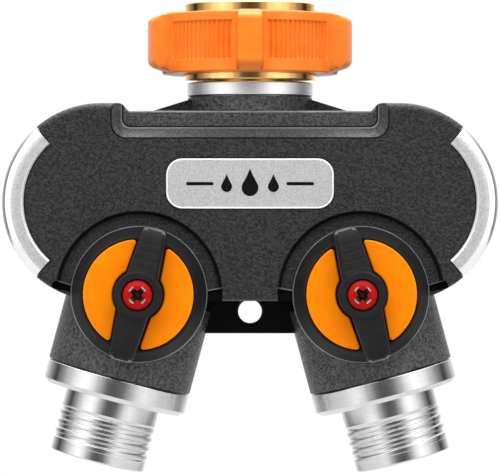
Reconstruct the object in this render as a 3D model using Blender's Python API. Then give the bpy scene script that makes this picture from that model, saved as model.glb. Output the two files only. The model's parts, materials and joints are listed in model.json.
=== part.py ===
"""Two-way garden hose splitter: swivel inlet nut, clam-shell casing and two quarter-turn ball valves.

Lengths below are millimetres, and MM turns them into Blender's metres. The origin is on the inlet axis at
the top of the hose washer. +Z runs up and out of the inlet, and the knobs face -Y.
"""
import math

import bmesh
import bpy
from mathutils import Matrix, Vector

MM = 0.001
GAP = 0.3                     # clearance between neighbouring pieces
WELD = 1e-6                   # metres, closes the seam of a turned solid

# Casing: a bean of two round lobes, split on the plane Y = 0
LOBE_R = 27.15
LOBE_X = 40.85
LOBE_Z = -41.4
HALF_DEPTH = 22.5
EDGE_R = 1.8                  # rounding of the front and back edges
WALL = 4.0
CAVITY_HALF = 15.3
NOTCH_X = 34.4                # inner side of each lobe above the saddle between them
NOTCH_Z = -16.25
NOTCH_CORNER = 1.6
SADDLE_FACE = 18.0            # recessed panel in the saddle
SADDLE_OUTER = (38.0, -23.8, 4.1)     # half-width, height and corner radius at the front face
SADDLE_INNER = (35.05, -20.7, 2.2)    # the same at the recessed panel
SPLIT = 0.5 * GAP

# Neck, webs and hanging tab
NECK_R = 17.4
NECK_TOP = -12.0
NECK_BORE_R = 14.3
WEB_HALF = 6.0
TAB_HALF = 3.0
TAB_BOTTOM = -77.9
HOLE_Z = -71.8
HOLE_R = 3.3

# Side trims and badge
TRIM_R = 21.15
TRIM_ANGLE = 48.7
TRIM_THICK = 1.5
TRIM_PROUD = 0.4
BADGE_HALF = (23.0, 6.9)
BADGE_CORNER = 4.5
BADGE_Z = -36.4
BADGE_THICK = 1.2

# Casing screws, as X and Z on the back
SCREW_SPOTS = ((-56.0, -33.0), (-56.0, -50.0), (0.0, -58.0), (56.0, -33.0), (56.0, -50.0))
POST_R = 3.8
SHANK_R = 1.5
HEAD_R = 3.2
HEAD_SEAT = 19.0

# Valves: each barrel leans outwards, and its knob turns about the line through KNOB_X, KNOB_Z along Y
LEAN = 15.0
KNOB_X = 30.4
KNOB_Z = -66.7
BARREL_R = 16.0
BARREL_TOP = 36.0             # towards the inlet from the knob axis
BARREL_END = 23.9             # towards the outlet
ARM_R = 20.3
POCKET_R = 22.1
POCKET_FACE = 20.4
CHAMBER_R = 13.35
PASSAGE_R = 7.5
BALL_R = 11.0
BALL_BORE_R = 6.5
SEAT_FAR = 9.0
SEAT_NEAR = 6.6
STEM_BOSS_R = 6.5
STEM_R = 3.2
DRIVE_HALF = 2.6              # half the side of the stem's square
INLAY_R = 15.05

# Manifold core above the barrels
COLLAR_R = 17.5
COLLAR_TOP = -7.9
COLLAR_BOTTOM = -11.7
SPIGOT_R = 14.0
GALLERY_R = 12.5
GALLERY_Z = -38.0
TAIL_BORE_R = 10.6
TAIL_FLOOR = -25.3

# Swivel nut, washer and male outlets: 3/4 inch garden hose thread, coarser and shallower on the outlets
PITCH = 25.4 / 11.5
THREAD_DEPTH = 1.3
OUTLET_PITCH = 2.57
OUTLET_THREAD_R = 13.5
OUTLET_THREAD_DEPTH = 0.6
SLEEVE_R = 18.4
SLEEVE_TOP = 14.0
SLEEVE_BOTTOM = -7.5
WASHER_R = 12.6
WASHER_THICK = 3.0
LUGS = 5
OUTLET_END = 48.3

FACING_FRONT = (math.radians(90.0), 0.0, 0.0)


def material(name, color, roughness, metallic=0.0):
    """Principled material in one linear colour."""
    made = bpy.data.materials.new(name)
    made.use_nodes = True
    shader = made.node_tree.nodes["Principled BSDF"]
    shader.inputs["Base Color"].default_value = (*color, 1.0)
    shader.inputs["Roughness"].default_value = roughness
    shader.inputs["Metallic"].default_value = metallic
    made.diffuse_color = (*color, 1.0)
    return made


def empty(name, location, rotation):
    """Axis marker that pieces are parented to, placed in millimetres."""
    marker = bpy.data.objects.new(name, None)
    marker.location = Vector(location) * MM
    marker.rotation_euler = rotation
    bpy.context.collection.objects.link(marker)
    return marker


def face_outwards(shape):
    """Consistent normals that point out of a closed solid."""
    bmesh.ops.recalc_face_normals(shape, faces=shape.faces)
    if shape.calc_volume(signed=True) < 0.0:
        bmesh.ops.reverse_faces(shape, faces=shape.faces)


def solid(name, shape, mat, parent=None, location=(0.0, 0.0, 0.0), rotation=(0.0, 0.0, 0.0)):
    """Object from a closed bmesh, with its faces turned outwards and its round parts smooth."""
    face_outwards(shape)
    mesh = bpy.data.meshes.new(name)
    shape.to_mesh(mesh)
    shape.free()
    mesh.shade_smooth()
    mesh.set_sharp_from_angle(angle=math.radians(30.0))
    made = bpy.data.objects.new(name, mesh)
    if mat:
        mesh.materials.append(mat)
    made.parent = parent
    made.location = Vector(location) * MM
    made.rotation_euler = rotation
    bpy.context.collection.objects.link(made)
    return made


def guide(name, shape, **place):
    """Solid that only adds to or cuts another one."""
    made = solid(name, shape, None, **place)
    made.hide_render = True
    made.display_type = "WIRE"
    return made


def apply(target, operation, *tools):
    """Boolean modifiers on target, one for each tool."""
    for tool in tools:
        step = target.modifiers.new(tool.name, "BOOLEAN")
        step.object = tool
        step.operation = operation
        step.solver = "EXACT"


def cut(target, *tools):
    apply(target, "DIFFERENCE", *tools)


def join(target, *tools):
    apply(target, "UNION", *tools)


def arc(x, y, radius, start, end, steps):
    """Points on an arc from start to end degrees, both ends included."""
    turns = [math.radians(start + (end - start) * i / steps) for i in range(steps + 1)]
    return [(x + radius * math.cos(turn), y + radius * math.sin(turn)) for turn in turns]


def turn_about(shape, degrees, axis):
    """Turns a bmesh about one of its own axes."""
    turn = Matrix.Rotation(math.radians(degrees), 3, axis)
    bmesh.ops.rotate(shape, cent=(0, 0, 0), matrix=turn, verts=shape.verts)


def turned(profile, steps=28, sweep=360.0, start=0.0):
    """Solid turned about local Z from (radius, height) points.

    A profile that starts off the axis is a closed loop.
    """
    shape = bmesh.new()
    verts = [shape.verts.new((radius * MM, 0.0, height * MM)) for radius, height in profile]
    pairs = list(zip(verts, verts[1:]))
    if profile[0][0] > 0.0:
        pairs.append((verts[-1], verts[0]))
    edges = [shape.edges.new(pair) for pair in pairs]
    bmesh.ops.spin(shape, geom=verts + edges, cent=(0, 0, 0), axis=(0, 0, 1),
                   angle=math.radians(sweep), steps=steps)
    bmesh.ops.remove_doubles(shape, verts=shape.verts, dist=WELD)
    if sweep < 360.0:
        bmesh.ops.holes_fill(shape, edges=shape.edges)
    turn_about(shape, start, "Z")
    return shape


def rod(radius, low, high, steps=28, start=0.0):
    """Plain cylinder along local Z."""
    return turned([(0.0, high), (radius, high), (radius, low), (0.0, low)], steps, 360.0, start)


def ring_of(radius, thick, height, steps=18, sides=5):
    """O-ring about local Z: its mean radius, and the radius of its section."""
    return turned(arc(radius, height, thick, 0.0, 360.0, sides)[:-1], steps)


def lofted(rings):
    """Closed solid through rings of matching (x, y, z) points, with flat ends."""
    shape = bmesh.new()
    loops = [[shape.verts.new(Vector(point) * MM) for point in ring] for ring in rings]
    count = len(loops[0])
    for low, high in zip(loops, loops[1:]):
        for i in range(count):
            j = (i + 1) % count
            shape.faces.new((low[i], low[j], high[j], high[i]))
    shape.faces.new(loops[0])
    shape.faces.new(loops[-1])
    return shape


def slab(outline, front, back):
    """Outline in X and Z, carried from Y = front to Y = back."""
    return lofted([[(x, y, z) for x, z in outline] for y in (front, back)])


def block(outline, low, high):
    """Outline in local X and Y, carried from one height to another."""
    return lofted([[(x, y, z) for x, y in outline] for z in (low, high)])


def rectangle(half_x, half_y, x=0.0, y=0.0):
    """Rectangle about (x, y)."""
    return [(x - half_x, y - half_y), (x + half_x, y - half_y),
            (x + half_x, y + half_y), (x - half_x, y + half_y)]


def rounded_rectangle(half_x, half_y, corner, y=0.0, steps=5):
    """Rectangle with round corners, about (0, y)."""
    centres = ((1, 1), (-1, 1), (-1, -1), (1, -1))
    points = []
    for quarter, (sx, sy) in enumerate(centres):
        points += arc(sx * (half_x - corner), y + sy * (half_y - corner), corner,
                      90.0 * quarter, 90.0 * quarter + 90.0, steps)
    return points


def merged(*shapes):
    """One bmesh holding several separate closed solids, for a cutter."""
    whole = bmesh.new()
    for shape in shapes:
        mesh = bpy.data.meshes.new("scratch")
        shape.to_mesh(mesh)
        shape.free()
        whole.from_mesh(mesh)
        bpy.data.meshes.remove(mesh)
    return whole


# ---------------------------------------------------------------- casing

def casing_outline(inset):
    """Bean outline in X and Z, drawn in by inset."""
    radius = LOBE_R - inset
    shoulder_x = NOTCH_X + inset + NOTCH_CORNER
    shoulder_z = LOBE_Z + radius - NOTCH_CORNER
    right = arc(LOBE_X, LOBE_Z, radius, -90.0, 90.0, 18)
    right += arc(shoulder_x, shoulder_z, NOTCH_CORNER, 90.0, 180.0, 3)
    right.append((NOTCH_X + inset, NOTCH_Z - inset))
    return right + [(-x, z) for x, z in reversed(right)]


def casing_shape():
    """Whole bean with rounded front and back edges."""
    turns = [math.radians(angle) for angle in (0.0, 30.0, 60.0, 90.0)]
    half = [(EDGE_R * (1.0 - math.sin(turn)), HALF_DEPTH - EDGE_R * (1.0 - math.cos(turn)))
            for turn in turns]
    levels = [(inset, -y) for inset, y in half] + [(inset, y) for inset, y in reversed(half)]
    return lofted([[(x, y, z) for x, z in casing_outline(inset)] for inset, y in levels])


def saddle_outline(half_x, bottom, corner):
    """Region above and between the lobes, with two round lower corners."""
    top = 0.0
    left = arc(-half_x + corner, bottom + corner, corner, 180.0, 270.0, 5)
    right = arc(half_x - corner, bottom + corner, corner, 270.0, 360.0, 5)
    return left + right + [(half_x, top), (-half_x, top)]


def saddle_shape(side):
    """Cutter for the saddle's sloped band and recessed panel on one side, -1 for the front."""
    outer = saddle_outline(*SADDLE_OUTER)
    inner = saddle_outline(*SADDLE_INNER)
    stations = ((HALF_DEPTH + 4.0, outer), (HALF_DEPTH, outer), (SADDLE_FACE, inner))
    return lofted([[(x, side * y, z) for x, z in outline] for y, outline in stations])


def trim_groove():
    """Closed (radius, depth) profile of the room that a side trim takes."""
    inner = TRIM_R - GAP
    floor = HALF_DEPTH + TRIM_PROUD - TRIM_THICK - GAP
    side = LOBE_R - TRIM_THICK - GAP
    return [(inner, -26.0), (30.0, -26.0), (30.0, 26.0), (inner, 26.0),
            (inner, floor), (side, floor), (side, -floor), (inner, -floor)]


def trim_profile():
    """Closed (radius, depth) profile of a side trim: two lips with rounded shoulders on an outer band."""
    face = HALF_DEPTH + TRIM_PROUD
    shoulder = 2.6
    front = [(TRIM_R, -face + 0.7), (TRIM_R + 0.6, -face)]
    front += arc(LOBE_R - shoulder, -face + shoulder, shoulder, 270.0, 360.0, 4)
    outside = front + [(r, -y) for r, y in reversed(front)]
    under = face - TRIM_THICK
    lining = LOBE_R - TRIM_THICK
    inside = [(TRIM_R, under), (lining, under), (lining, -under), (TRIM_R, -under)]
    return outside + inside


def web_outline(sign):
    """Sloped web from the neck down to the saddle."""
    slope = ((15.0, -12.4), (17.4, -12.9), (28.0, -16.2), (28.0, -18.0), (15.0, -18.0))
    return [(sign * x, z) for x, z in slope]


def screw_rods(radius, start, sides, front, back):
    """One rod at each casing screw's place, all in one bmesh."""
    last = start + 360.0 * (sides - 1) / sides
    return merged(*[slab(arc(x, z, radius, start, last, sides - 1), front, back) for x, z in SCREW_SPOTS])


def casing_guides(left, right):
    """Everything that shapes both shells, in the order of use."""
    def barrel(name, radius, top, end, steps, start):
        return [guide(f"{name}_{side}", rod(radius, -top, end, steps, start), parent=frame)
                for side, frame in (("left", left), ("right", right))]

    tab = [(-13.2, -66.5), (-14.0, TAB_BOTTOM), (14.0, TAB_BOTTOM), (13.2, -66.5)]
    outside = barrel("arm_outside", ARM_R, 0.0, BARREL_END, 36, 0.0)
    outside.append(guide("neck_outside", rod(NECK_R, -19.0, NECK_TOP, 36, 2.0)))
    outside.append(guide("tab_outside", slab(tab, -TAB_HALF, TAB_HALF)))
    for name, sign in (("left", -1), ("right", 1)):
        outside.append(guide(f"web_outside_{name}", slab(web_outline(sign), -WEB_HALF, WEB_HALF)))

    inside = [guide("casing_inside", slab(casing_outline(WALL), -CAVITY_HALF, CAVITY_HALF))]
    inside += barrel("arm_inside", BARREL_R + GAP, BARREL_TOP + GAP, BARREL_END + 5.0, 28, 3.0)
    inside.append(guide("neck_inside", rod(NECK_BORE_R, -24.0, NECK_TOP + 5.0, 24, 4.0)))

    posts = guide("posts", screw_rods(POST_R, 5.0, 12, -16.5, 16.5))
    shared = [guide("screw_holes", screw_rods(SHANK_R + GAP, 0.0, 10, -11.0, 30.0)),
              guide("hanging_hole", slab(arc(0.0, HOLE_Z, HOLE_R, 0.0, 340.0, 17), -10.0, 10.0))]
    for name, start, sign in (("left", 180.0, -1), ("right", 0.0, 1)):
        reach = TRIM_ANGLE + 0.7
        groove = turned(trim_groove(), 16, 2.0 * reach, start - reach)
        shared.append(guide(f"trim_groove_{name}", groove, location=(sign * LOBE_X, 0.0, LOBE_Z),
                            rotation=FACING_FRONT))
    return outside, inside, posts, shared


def build_shells(shell_mat, left, right):
    """Front and rear shells, cut from one bean."""
    outside, inside, posts, shared = casing_guides(left, right)
    for name, side in (("front_shell", -1), ("rear_shell", 1)):
        shell = solid(name, casing_shape(), shell_mat)
        join(shell, *outside)
        cut(shell, *inside)
        join(shell, posts)
        other_half = slab(rectangle(90.0, 80.0, 0.0, -50.0), -side * 40.0, side * SPLIT)
        cut(shell, guide(f"{name}_other_half", other_half),
            guide(f"{name}_saddle", saddle_shape(side)), *shared)
        if side < 0:
            cut(shell, *front_guides(left, right))
        else:
            cut(shell, guide("screw_wells", screw_rods(HEAD_R + GAP, 0.0, 12, HEAD_SEAT, 30.0)))


def front_guides(left, right):
    """Knob pockets, stem holes and badge seat of the front shell."""
    tools = []
    for name, sign in (("left", -1), ("right", 1)):
        place = {"location": (sign * KNOB_X, 0.0, KNOB_Z), "rotation": FACING_FRONT}
        tools.append(guide(f"pocket_{name}", rod(POCKET_R, POCKET_FACE, 30.0, 44, 1.0), **place))
        tools.append(guide(f"stem_hole_{name}", rod(STEM_BOSS_R + GAP, 10.0, 30.0, 18, 7.0), **place))
    seat = rounded_rectangle(BADGE_HALF[0] + GAP, BADGE_HALF[1] + GAP, BADGE_CORNER + GAP, BADGE_Z)
    tools.append(guide("badge_seat", slab(seat, -30.0, -HALF_DEPTH + BADGE_THICK)))
    return tools


def build_trims(trim_mat):
    """Silver arc round each lobe, badge plate with a bevelled rim."""
    for name, start, sign in (("left_side_trim", 180.0, -1), ("right_side_trim", 0.0, 1)):
        shape = turned(trim_profile(), 16, 2.0 * TRIM_ANGLE, start - TRIM_ANGLE)
        solid(name, shape, trim_mat, location=(sign * LOBE_X, 0.0, LOBE_Z), rotation=FACING_FRONT)

    rings = []
    half_x, half_z = BADGE_HALF
    for inset, y in ((0.0, BADGE_THICK - GAP), (0.0, 0.0), (0.5, -0.4)):
        outline = rounded_rectangle(half_x - inset, half_z - inset, BADGE_CORNER - inset, BADGE_Z)
        rings.append([(x, y - HALF_DEPTH, z) for x, z in outline])
    solid("badge_plate", lofted(rings), trim_mat)


def cross_recess(half, low, high):
    """Cross-head recess, as the union of two bars."""
    slim = 0.3 * half
    points = []
    for quarter in range(4):
        turn = Matrix.Rotation(math.radians(90.0 * quarter), 2)
        points += [tuple(turn @ Vector(corner)) for corner in ((half, -slim), (half, slim), (slim, slim))]
    return block(points, low, high)


def build_casing_screws(screw_mat):
    """Five pan-head screws that close the casing from behind; each one's local Z points back."""
    for number, (x, z) in enumerate(SCREW_SPOTS, 1):
        seat = HEAD_SEAT + GAP
        shape = turned([(0.0, seat + 2.0), (1.9, seat + 1.9), (HEAD_R, seat + 0.9), (HEAD_R, seat),
                        (SHANK_R, seat), (SHANK_R, -9.0), (0.7, -10.4), (0.0, -10.4)], 12)
        place = {"location": (x, 0.0, z), "rotation": (math.radians(-90.0), 0.0, 0.0)}
        screw = solid(f"casing_screw_{number}", shape, screw_mat, **place)
        cut(screw, guide(f"casing_screw_cross_{number}", cross_recess(1.7, seat + 0.7, seat + 4.0), **place))


# ---------------------------------------------------------------- manifold and inlet

def build_core(core_mat, left, right):
    """Hollow casting: inlet spigot with its collar, cross gallery, two valve barrels and two stem bosses."""
    spigot = [(0.0, COLLAR_TOP), (COLLAR_R - 0.5, COLLAR_TOP), (COLLAR_R, COLLAR_TOP - 0.5),
              (COLLAR_R, COLLAR_BOTTOM), (SPIGOT_R, COLLAR_BOTTOM), (SPIGOT_R, GALLERY_Z), (0.0, GALLERY_Z)]
    core = solid("manifold_core", turned(spigot, 26), core_mat)
    along_x = {"location": (0.0, 0.0, GALLERY_Z), "rotation": (0.0, math.radians(90.0), 0.0)}
    join(core, guide("gallery_outside", rod(GALLERY_R, -24.0, 24.0, 24, 4.0), **along_x))
    ways = [guide("inlet_way", turned([(0.0, COLLAR_TOP + 5.0), (TAIL_BORE_R, COLLAR_TOP + 5.0),
                                       (TAIL_BORE_R, TAIL_FLOOR), (PASSAGE_R, TAIL_FLOOR),
                                       (PASSAGE_R, GALLERY_Z + 0.6), (0.0, GALLERY_Z + 0.6)], 22)),
            guide("gallery_way", rod(PASSAGE_R, -22.0, 22.0, 18, 6.0), **along_x)]
    for name, sign, frame in (("left", -1, left), ("right", 1, right)):
        join(core, guide(f"barrel_{name}", rod(BARREL_R, -BARREL_TOP, BARREL_END, 26, 3.0), parent=frame))
        place = {"location": (sign * KNOB_X, 0.0, KNOB_Z), "rotation": FACING_FRONT}
        join(core, guide(f"stem_boss_{name}", rod(STEM_BOSS_R, 8.0, 19.9, 18, 7.0), **place))
        shoulder = SEAT_FAR + GAP
        bore = [(0.0, 30.0), (CHAMBER_R, 30.0), (CHAMBER_R, -shoulder), (PASSAGE_R, -shoulder),
                (PASSAGE_R, -31.0), (0.0, -31.0)]
        ways.append(guide(f"barrel_way_{name}", turned(bore, 22, 360.0, 5.0), parent=frame))
        ways.append(guide(f"stem_way_{name}", rod(STEM_R + 0.4, 3.0, 25.0, 16, 9.0), **place))
    cut(core, *ways)


def build_inlet(brass_mat, rubber_mat):
    """Flanged tailpiece that traps the nut, with its O-ring."""
    flange_top = -WASHER_THICK - GAP
    tube_r, bore_r = TAIL_BORE_R - 0.4, 7.0
    groove_low, groove_high, groove_r = -17.1, -14.9, 8.6
    flange_r, flange_low = 12.3, flange_top - 2.0
    profile = [(bore_r, flange_top), (flange_r, flange_top), (flange_r, flange_low), (tube_r, flange_low),
               (tube_r, groove_high), (groove_r, groove_high), (groove_r, groove_low), (tube_r, groove_low),
               (tube_r, TAIL_FLOOR + GAP), (bore_r, TAIL_FLOOR + GAP)]
    solid("inlet_tailpiece", turned(profile), brass_mat)
    solid("inlet_o_ring", ring_of(9.6, 0.7, 0.5 * (groove_low + groove_high)), rubber_mat)


def thread_profile(crest, root, start, turns, pitch):
    """Crest and root points of ring-like threads, as (radius, distance) pairs."""
    points = []
    for number in range(turns):
        low = start + number * pitch
        points += [(crest, low), (root, low + 0.5 * pitch)]
    return points


def grip_rows(on_lug):
    """Outer (radius, height) points of the nut grip, bottom to top, on a lug or between lugs."""
    if on_lug:
        return [(26.4, -4.8), (28.4, -3.8), (29.0, -2.8), (29.0, 8.4), (27.6, 10.3), (25.5, 11.0)]
    return [(24.6, -5.5), (24.6, -2.3), (23.7, -2.3), (23.7, 8.8), (24.6, 8.8), (24.6, 11.0)]


def grip_shape():
    """Five-lug collar: columns of outer points round a plain bore."""
    bore = SLEEVE_R + GAP
    offsets = ((-6.5, True), (0.0, True), (6.5, True), (9.3, False), (20.0, False), (30.7, False),
               (41.3, False), (52.0, False), (62.7, False))
    columns = [(360.0 / LUGS * lug + offset - 90.0, on_lug)
               for lug in range(LUGS) for offset, on_lug in offsets]
    shape = bmesh.new()
    loops = []
    for angle, on_lug in columns:
        out = Vector((math.cos(math.radians(angle)), math.sin(math.radians(angle)), 0.0))
        rows = [(bore, -5.6)] + grip_rows(on_lug) + [(bore, 11.6)]
        loops.append([shape.verts.new((out * r + Vector((0.0, 0.0, z))) * MM) for r, z in rows])
    count = len(loops[0])
    for here, there in zip(loops, loops[1:] + loops[:1]):
        for i in range(count):
            j = (i + 1) % count
            shape.faces.new((here[i], there[i], there[j], here[j]))
    return shape


def build_nut(grip_mat, brass_mat, rubber_mat, axis):
    """Swivel nut: grip, threaded sleeve and hose washer, turning together about the inlet axis."""
    solid("swivel_nut_grip", grip_shape(), grip_mat, parent=axis)
    chamber_r, lip_r = 12.9, TAIL_BORE_R
    thread = thread_profile(12.6, 12.6 + THREAD_DEPTH, 2.4, 4, PITCH)
    outside = [(lip_r, SLEEVE_BOTTOM), (SLEEVE_R - 0.7, SLEEVE_BOTTOM), (SLEEVE_R, SLEEVE_BOTTOM + 0.7),
               (SLEEVE_R, SLEEVE_TOP - 0.5), (SLEEVE_R - 0.5, SLEEVE_TOP), (14.6, SLEEVE_TOP),
               (13.9, SLEEVE_TOP - 1.0)]
    chamber = [(12.6, 1.4), (chamber_r, 1.2), (chamber_r, -5.6), (lip_r, -5.6)]
    solid("swivel_nut_sleeve", turned(outside + thread[::-1] + chamber, 28), brass_mat, parent=axis)
    washer = [(8.0, 0.0), (WASHER_R, 0.0), (WASHER_R, -WASHER_THICK), (8.0, -WASHER_THICK)]
    solid("hose_washer", turned(washer), rubber_mat, parent=axis)


# ---------------------------------------------------------------- valves

def seat_profile(sign):
    """Closed profile of a ball seat, hollowed to the ball's radius plus the gap; sign 1 is downstream."""
    reach = BALL_R + GAP
    cup = [(math.sqrt(reach ** 2 - along ** 2), sign * along) for along in (SEAT_NEAR, 7.9, SEAT_FAR)]
    return [(CHAMBER_R - GAP, sign * SEAT_FAR), (CHAMBER_R - GAP, sign * SEAT_NEAR)] + cup


def nipple_profile():
    """Closed profile of an outlet nipple, by distance from the knob axis."""
    spigot_r, inner = CHAMBER_R - 0.35, SEAT_FAR + GAP
    groove_low, groove_high, groove_r = 20.0, 22.2, 11.15
    collar_low, collar_high, collar_r, chamfer = BARREL_END + GAP, 30.4, 20.4, 1.25
    thread_r = OUTLET_THREAD_R
    thread = thread_profile(thread_r, thread_r - OUTLET_THREAD_DEPTH, 34.75, 4, OUTLET_PITCH)
    outside = [(spigot_r, inner), (spigot_r, groove_low), (groove_r, groove_low), (groove_r, groove_high),
               (spigot_r, groove_high), (spigot_r, collar_low), (collar_r, collar_low),
               (collar_r, collar_high - chamfer), (collar_r - chamfer, collar_high), (thread_r, collar_high)]
    end = [(thread_r, thread[-1][1] + 0.5 * OUTLET_PITCH), (thread_r - 0.1, OUTLET_END - 0.8),
           (thread_r - 0.9, OUTLET_END)]
    bore = [(9.5, OUTLET_END), (9.5, 24.0), (PASSAGE_R, 21.0), (PASSAGE_R, inner)]
    return outside + thread + end + bore


def build_outlet(side, barrel, mats):
    """Seats, nipple and nipple O-ring in one barrel."""
    solid(f"{side}_upstream_seat", turned(seat_profile(-1), 18), mats["seat"], parent=barrel)
    solid(f"{side}_downstream_seat", turned(seat_profile(1), 18), mats["seat"], parent=barrel)
    solid(f"{side}_outlet_nipple", turned(nipple_profile(), 24), mats["silver"], parent=barrel)
    solid(f"{side}_outlet_o_ring", ring_of(12.25, 0.8, 21.1), mats["rubber"], parent=barrel)


def ball_shape():
    """Ball with its bore along local Y, turned about that bore."""
    edge = math.degrees(math.acos(BALL_BORE_R / BALL_R))
    outside = arc(0.0, 0.0, BALL_R, edge, -edge, 9)
    shape = turned(outside, 18)
    turn_about(shape, 90.0, "X")
    return shape


def handle_shape():
    """Tapered lever across the knob: (distance, half-width, top) stations along local Y."""
    foot = 22.4
    half = ((18.5, 2.9, 31.0), (17.6, 3.2, 33.6), (15.6, 3.4, 34.6), (8.0, 3.9, 36.2), (4.5, 4.3, 36.8))
    stations = [(-y, w, t) for y, w, t in half] + [(y, w, t) for y, w, t in reversed(half)]
    rings = []
    for y, width, top in stations:
        rings.append([(-width, y, foot), (width, y, foot), (width, y, top - 1.1), (width - 0.9, y, top),
                      (-width + 0.9, y, top), (-width, y, top - 1.1)])
    return lofted(rings)


def inlay_outline(grow):
    """Orange segment beside the lever, on +X: outer arc, two lever sides and the hub's curve."""
    outer, hub = INLAY_R + grow, 7.1 - grow
    tip_x, root_x = 4.1 - grow, 4.8 - grow
    corner = math.degrees(math.acos((tip_x + 0.9) / outer))
    hub_turn = math.degrees(math.acos(root_x / hub))
    rim = arc(0.0, 0.0, outer, -corner, corner, 12)
    soft = (tip_x + 0.15, math.sqrt(outer ** 2 - tip_x ** 2) - 0.9)
    hollow = arc(0.0, 0.0, hub, hub_turn, -hub_turn, 6)
    return rim + [soft] + hollow + [(soft[0], -soft[1])]


def knob_shape():
    """Conical skirt with a shallow recess below."""
    return turned([(0.0, 28.6), (15.7, 28.6), (16.0, 28.4), (18.7, 21.6), (18.7, 21.0), (16.8, 21.0),
                   (16.2, 21.8), (8.0, 21.8), (8.0, 21.0), (0.0, 21.0)], 28)


def build_knob(side, axis, mats):
    """Knob with its two inlays and its red screw, all about local Z."""
    knob = solid(f"{side}_knob", knob_shape(), mats["knob"], parent=axis)
    hub = turned([(0.0, 36.9), (5.8, 36.9), (6.5, 36.2), (6.5, 27.0), (0.0, 27.0)], 16, 360.0, 4.0)
    join(knob, guide(f"{side}_lever", handle_shape(), parent=axis), guide(f"{side}_hub", hub, parent=axis))
    socket = block(rectangle(DRIVE_HALF + GAP, DRIVE_HALF + GAP), 18.0, 33.9)
    way = turned([(0.0, 40.0), (4.4, 40.0), (4.4, 35.2), (1.7, 35.2), (1.7, 33.0), (0.0, 33.0)], 20)
    cut(knob, guide(f"{side}_socket", socket, parent=axis), guide(f"{side}_screw_way", way, parent=axis))
    for number, turn in ((1, 0.0), (2, math.radians(180.0))):
        place = {"parent": axis, "rotation": (0.0, 0.0, turn)}
        cut(knob, guide(f"{side}_inlay_seat_{number}", block(inlay_outline(GAP), 27.4, 33.0), **place))
        solid(f"{side}_knob_inlay_{number}", block(inlay_outline(0.0), 27.7, 28.9), mats["orange"], **place)
    profile = [(0.0, 37.4), (2.4, 37.3), (4.1, 36.6), (4.1, 35.5), (1.2, 35.5), (1.2, 25.4), (0.0, 25.4)]
    screw = solid(f"{side}_knob_screw", turned(profile, 16), mats["red"], parent=axis)
    cut(screw, guide(f"{side}_knob_screw_cross", cross_recess(1.9, 35.9, 40.0), parent=axis))


def build_stem(side, axis, mats):
    """Stem: tang in the ball's slot, blow-out disc, round shaft with an O-ring groove and square drive."""
    profile = [(0.0, 20.6), (STEM_R, 20.6), (STEM_R, 16.4), (1.9, 16.4), (1.9, 14.6), (STEM_R, 14.6),
               (STEM_R, 12.4), (4.0, 12.4), (4.0, 11.4), (0.0, 11.4)]
    stem = solid(f"{side}_valve_stem", turned(profile, 16), mats["brass"], parent=axis)
    join(stem, guide(f"{side}_drive", block(rectangle(DRIVE_HALF, DRIVE_HALF), 20.0, 33.6), parent=axis),
         guide(f"{side}_tang", block(rectangle(1.7, 3.4), 8.7, 12.0), parent=axis))
    cut(stem, guide(f"{side}_tapping", rod(1.5, 24.6, 36.0, 12), parent=axis))
    solid(f"{side}_stem_o_ring", ring_of(2.75, 0.55, 15.5, 12), mats["rubber"], parent=axis)


def build_valve(side, sign, mats):
    """Everything that turns with one knob. The marker's local Z faces the front, its local Y the inlet."""
    axis = empty(f"{side}_valve_axis", (sign * KNOB_X, 0.0, KNOB_Z),
                 (math.radians(90.0), -math.radians(sign * LEAN), 0.0))
    ball = solid(f"{side}_ball", ball_shape(), mats["ball"], parent=axis)
    cut(ball, guide(f"{side}_ball_slot", block(rectangle(2.0, 15.0), 8.4, 15.0), parent=axis))
    build_stem(side, axis, mats)
    build_knob(side, axis, mats)


def main():
    for item in list(bpy.data.objects):
        bpy.data.objects.remove(item, do_unlink=True)
    mats = {
        "shell": material("black_grained_plastic", (0.035, 0.036, 0.038), 0.55),
        "knob": material("black_knob_plastic", (0.032, 0.033, 0.035), 0.5),
        "orange": material("orange_plastic", (1.0, 0.22, 0.01), 0.4),
        "grip": material("orange_grip_plastic", (0.95, 0.25, 0.03), 0.42),
        "red": material("red_painted_screw", (0.55, 0.01, 0.01), 0.3),
        "silver": material("satin_silver", (0.75, 0.75, 0.76), 0.25, 1.0),
        "brass": material("polished_brass", (0.83, 0.58, 0.24), 0.18, 1.0),
        "core": material("cast_metal", (0.7, 0.7, 0.72), 0.4, 1.0),
        "ball": material("chromed_ball", (0.8, 0.8, 0.82), 0.08, 1.0),
        "screw": material("zinc_screw", (0.6, 0.6, 0.62), 0.35, 1.0),
        "seat": material("white_seat", (0.85, 0.85, 0.83), 0.45),
        "rubber": material("black_rubber", (0.02, 0.02, 0.02), 0.7),
    }
    barrels = {}
    for side, sign in (("left", -1), ("right", 1)):
        tilt = math.radians(180.0 - sign * LEAN)
        barrels[side] = empty(f"{side}_barrel_axis", (sign * KNOB_X, 0.0, KNOB_Z), (0.0, tilt, 0.0))
    build_shells(mats["shell"], barrels["left"], barrels["right"])
    build_trims(mats["silver"])
    build_casing_screws(mats["screw"])
    build_core(mats["core"], barrels["left"], barrels["right"])
    build_inlet(mats["brass"], mats["rubber"])
    swivel = empty("swivel_axis", (0.0, 0.0, 0.0), (0.0, 0.0, 0.0))
    build_nut(mats["grip"], mats["brass"], mats["rubber"], swivel)
    for side, sign in (("left", -1), ("right", 1)):
        build_outlet(side, barrels[side], mats)
        build_valve(side, sign, mats)


main()
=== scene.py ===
"""Looks of the two-way hose splitter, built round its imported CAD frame.

Lengths are millimetres, and MM turns them into metres. The main sizes and places are read from the frame.
The constants are finishing details: fillets, ribs, threads, and the depth of grain.
"""
import json
import math

import bmesh
import bpy
from mathutils import Matrix, Vector

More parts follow.
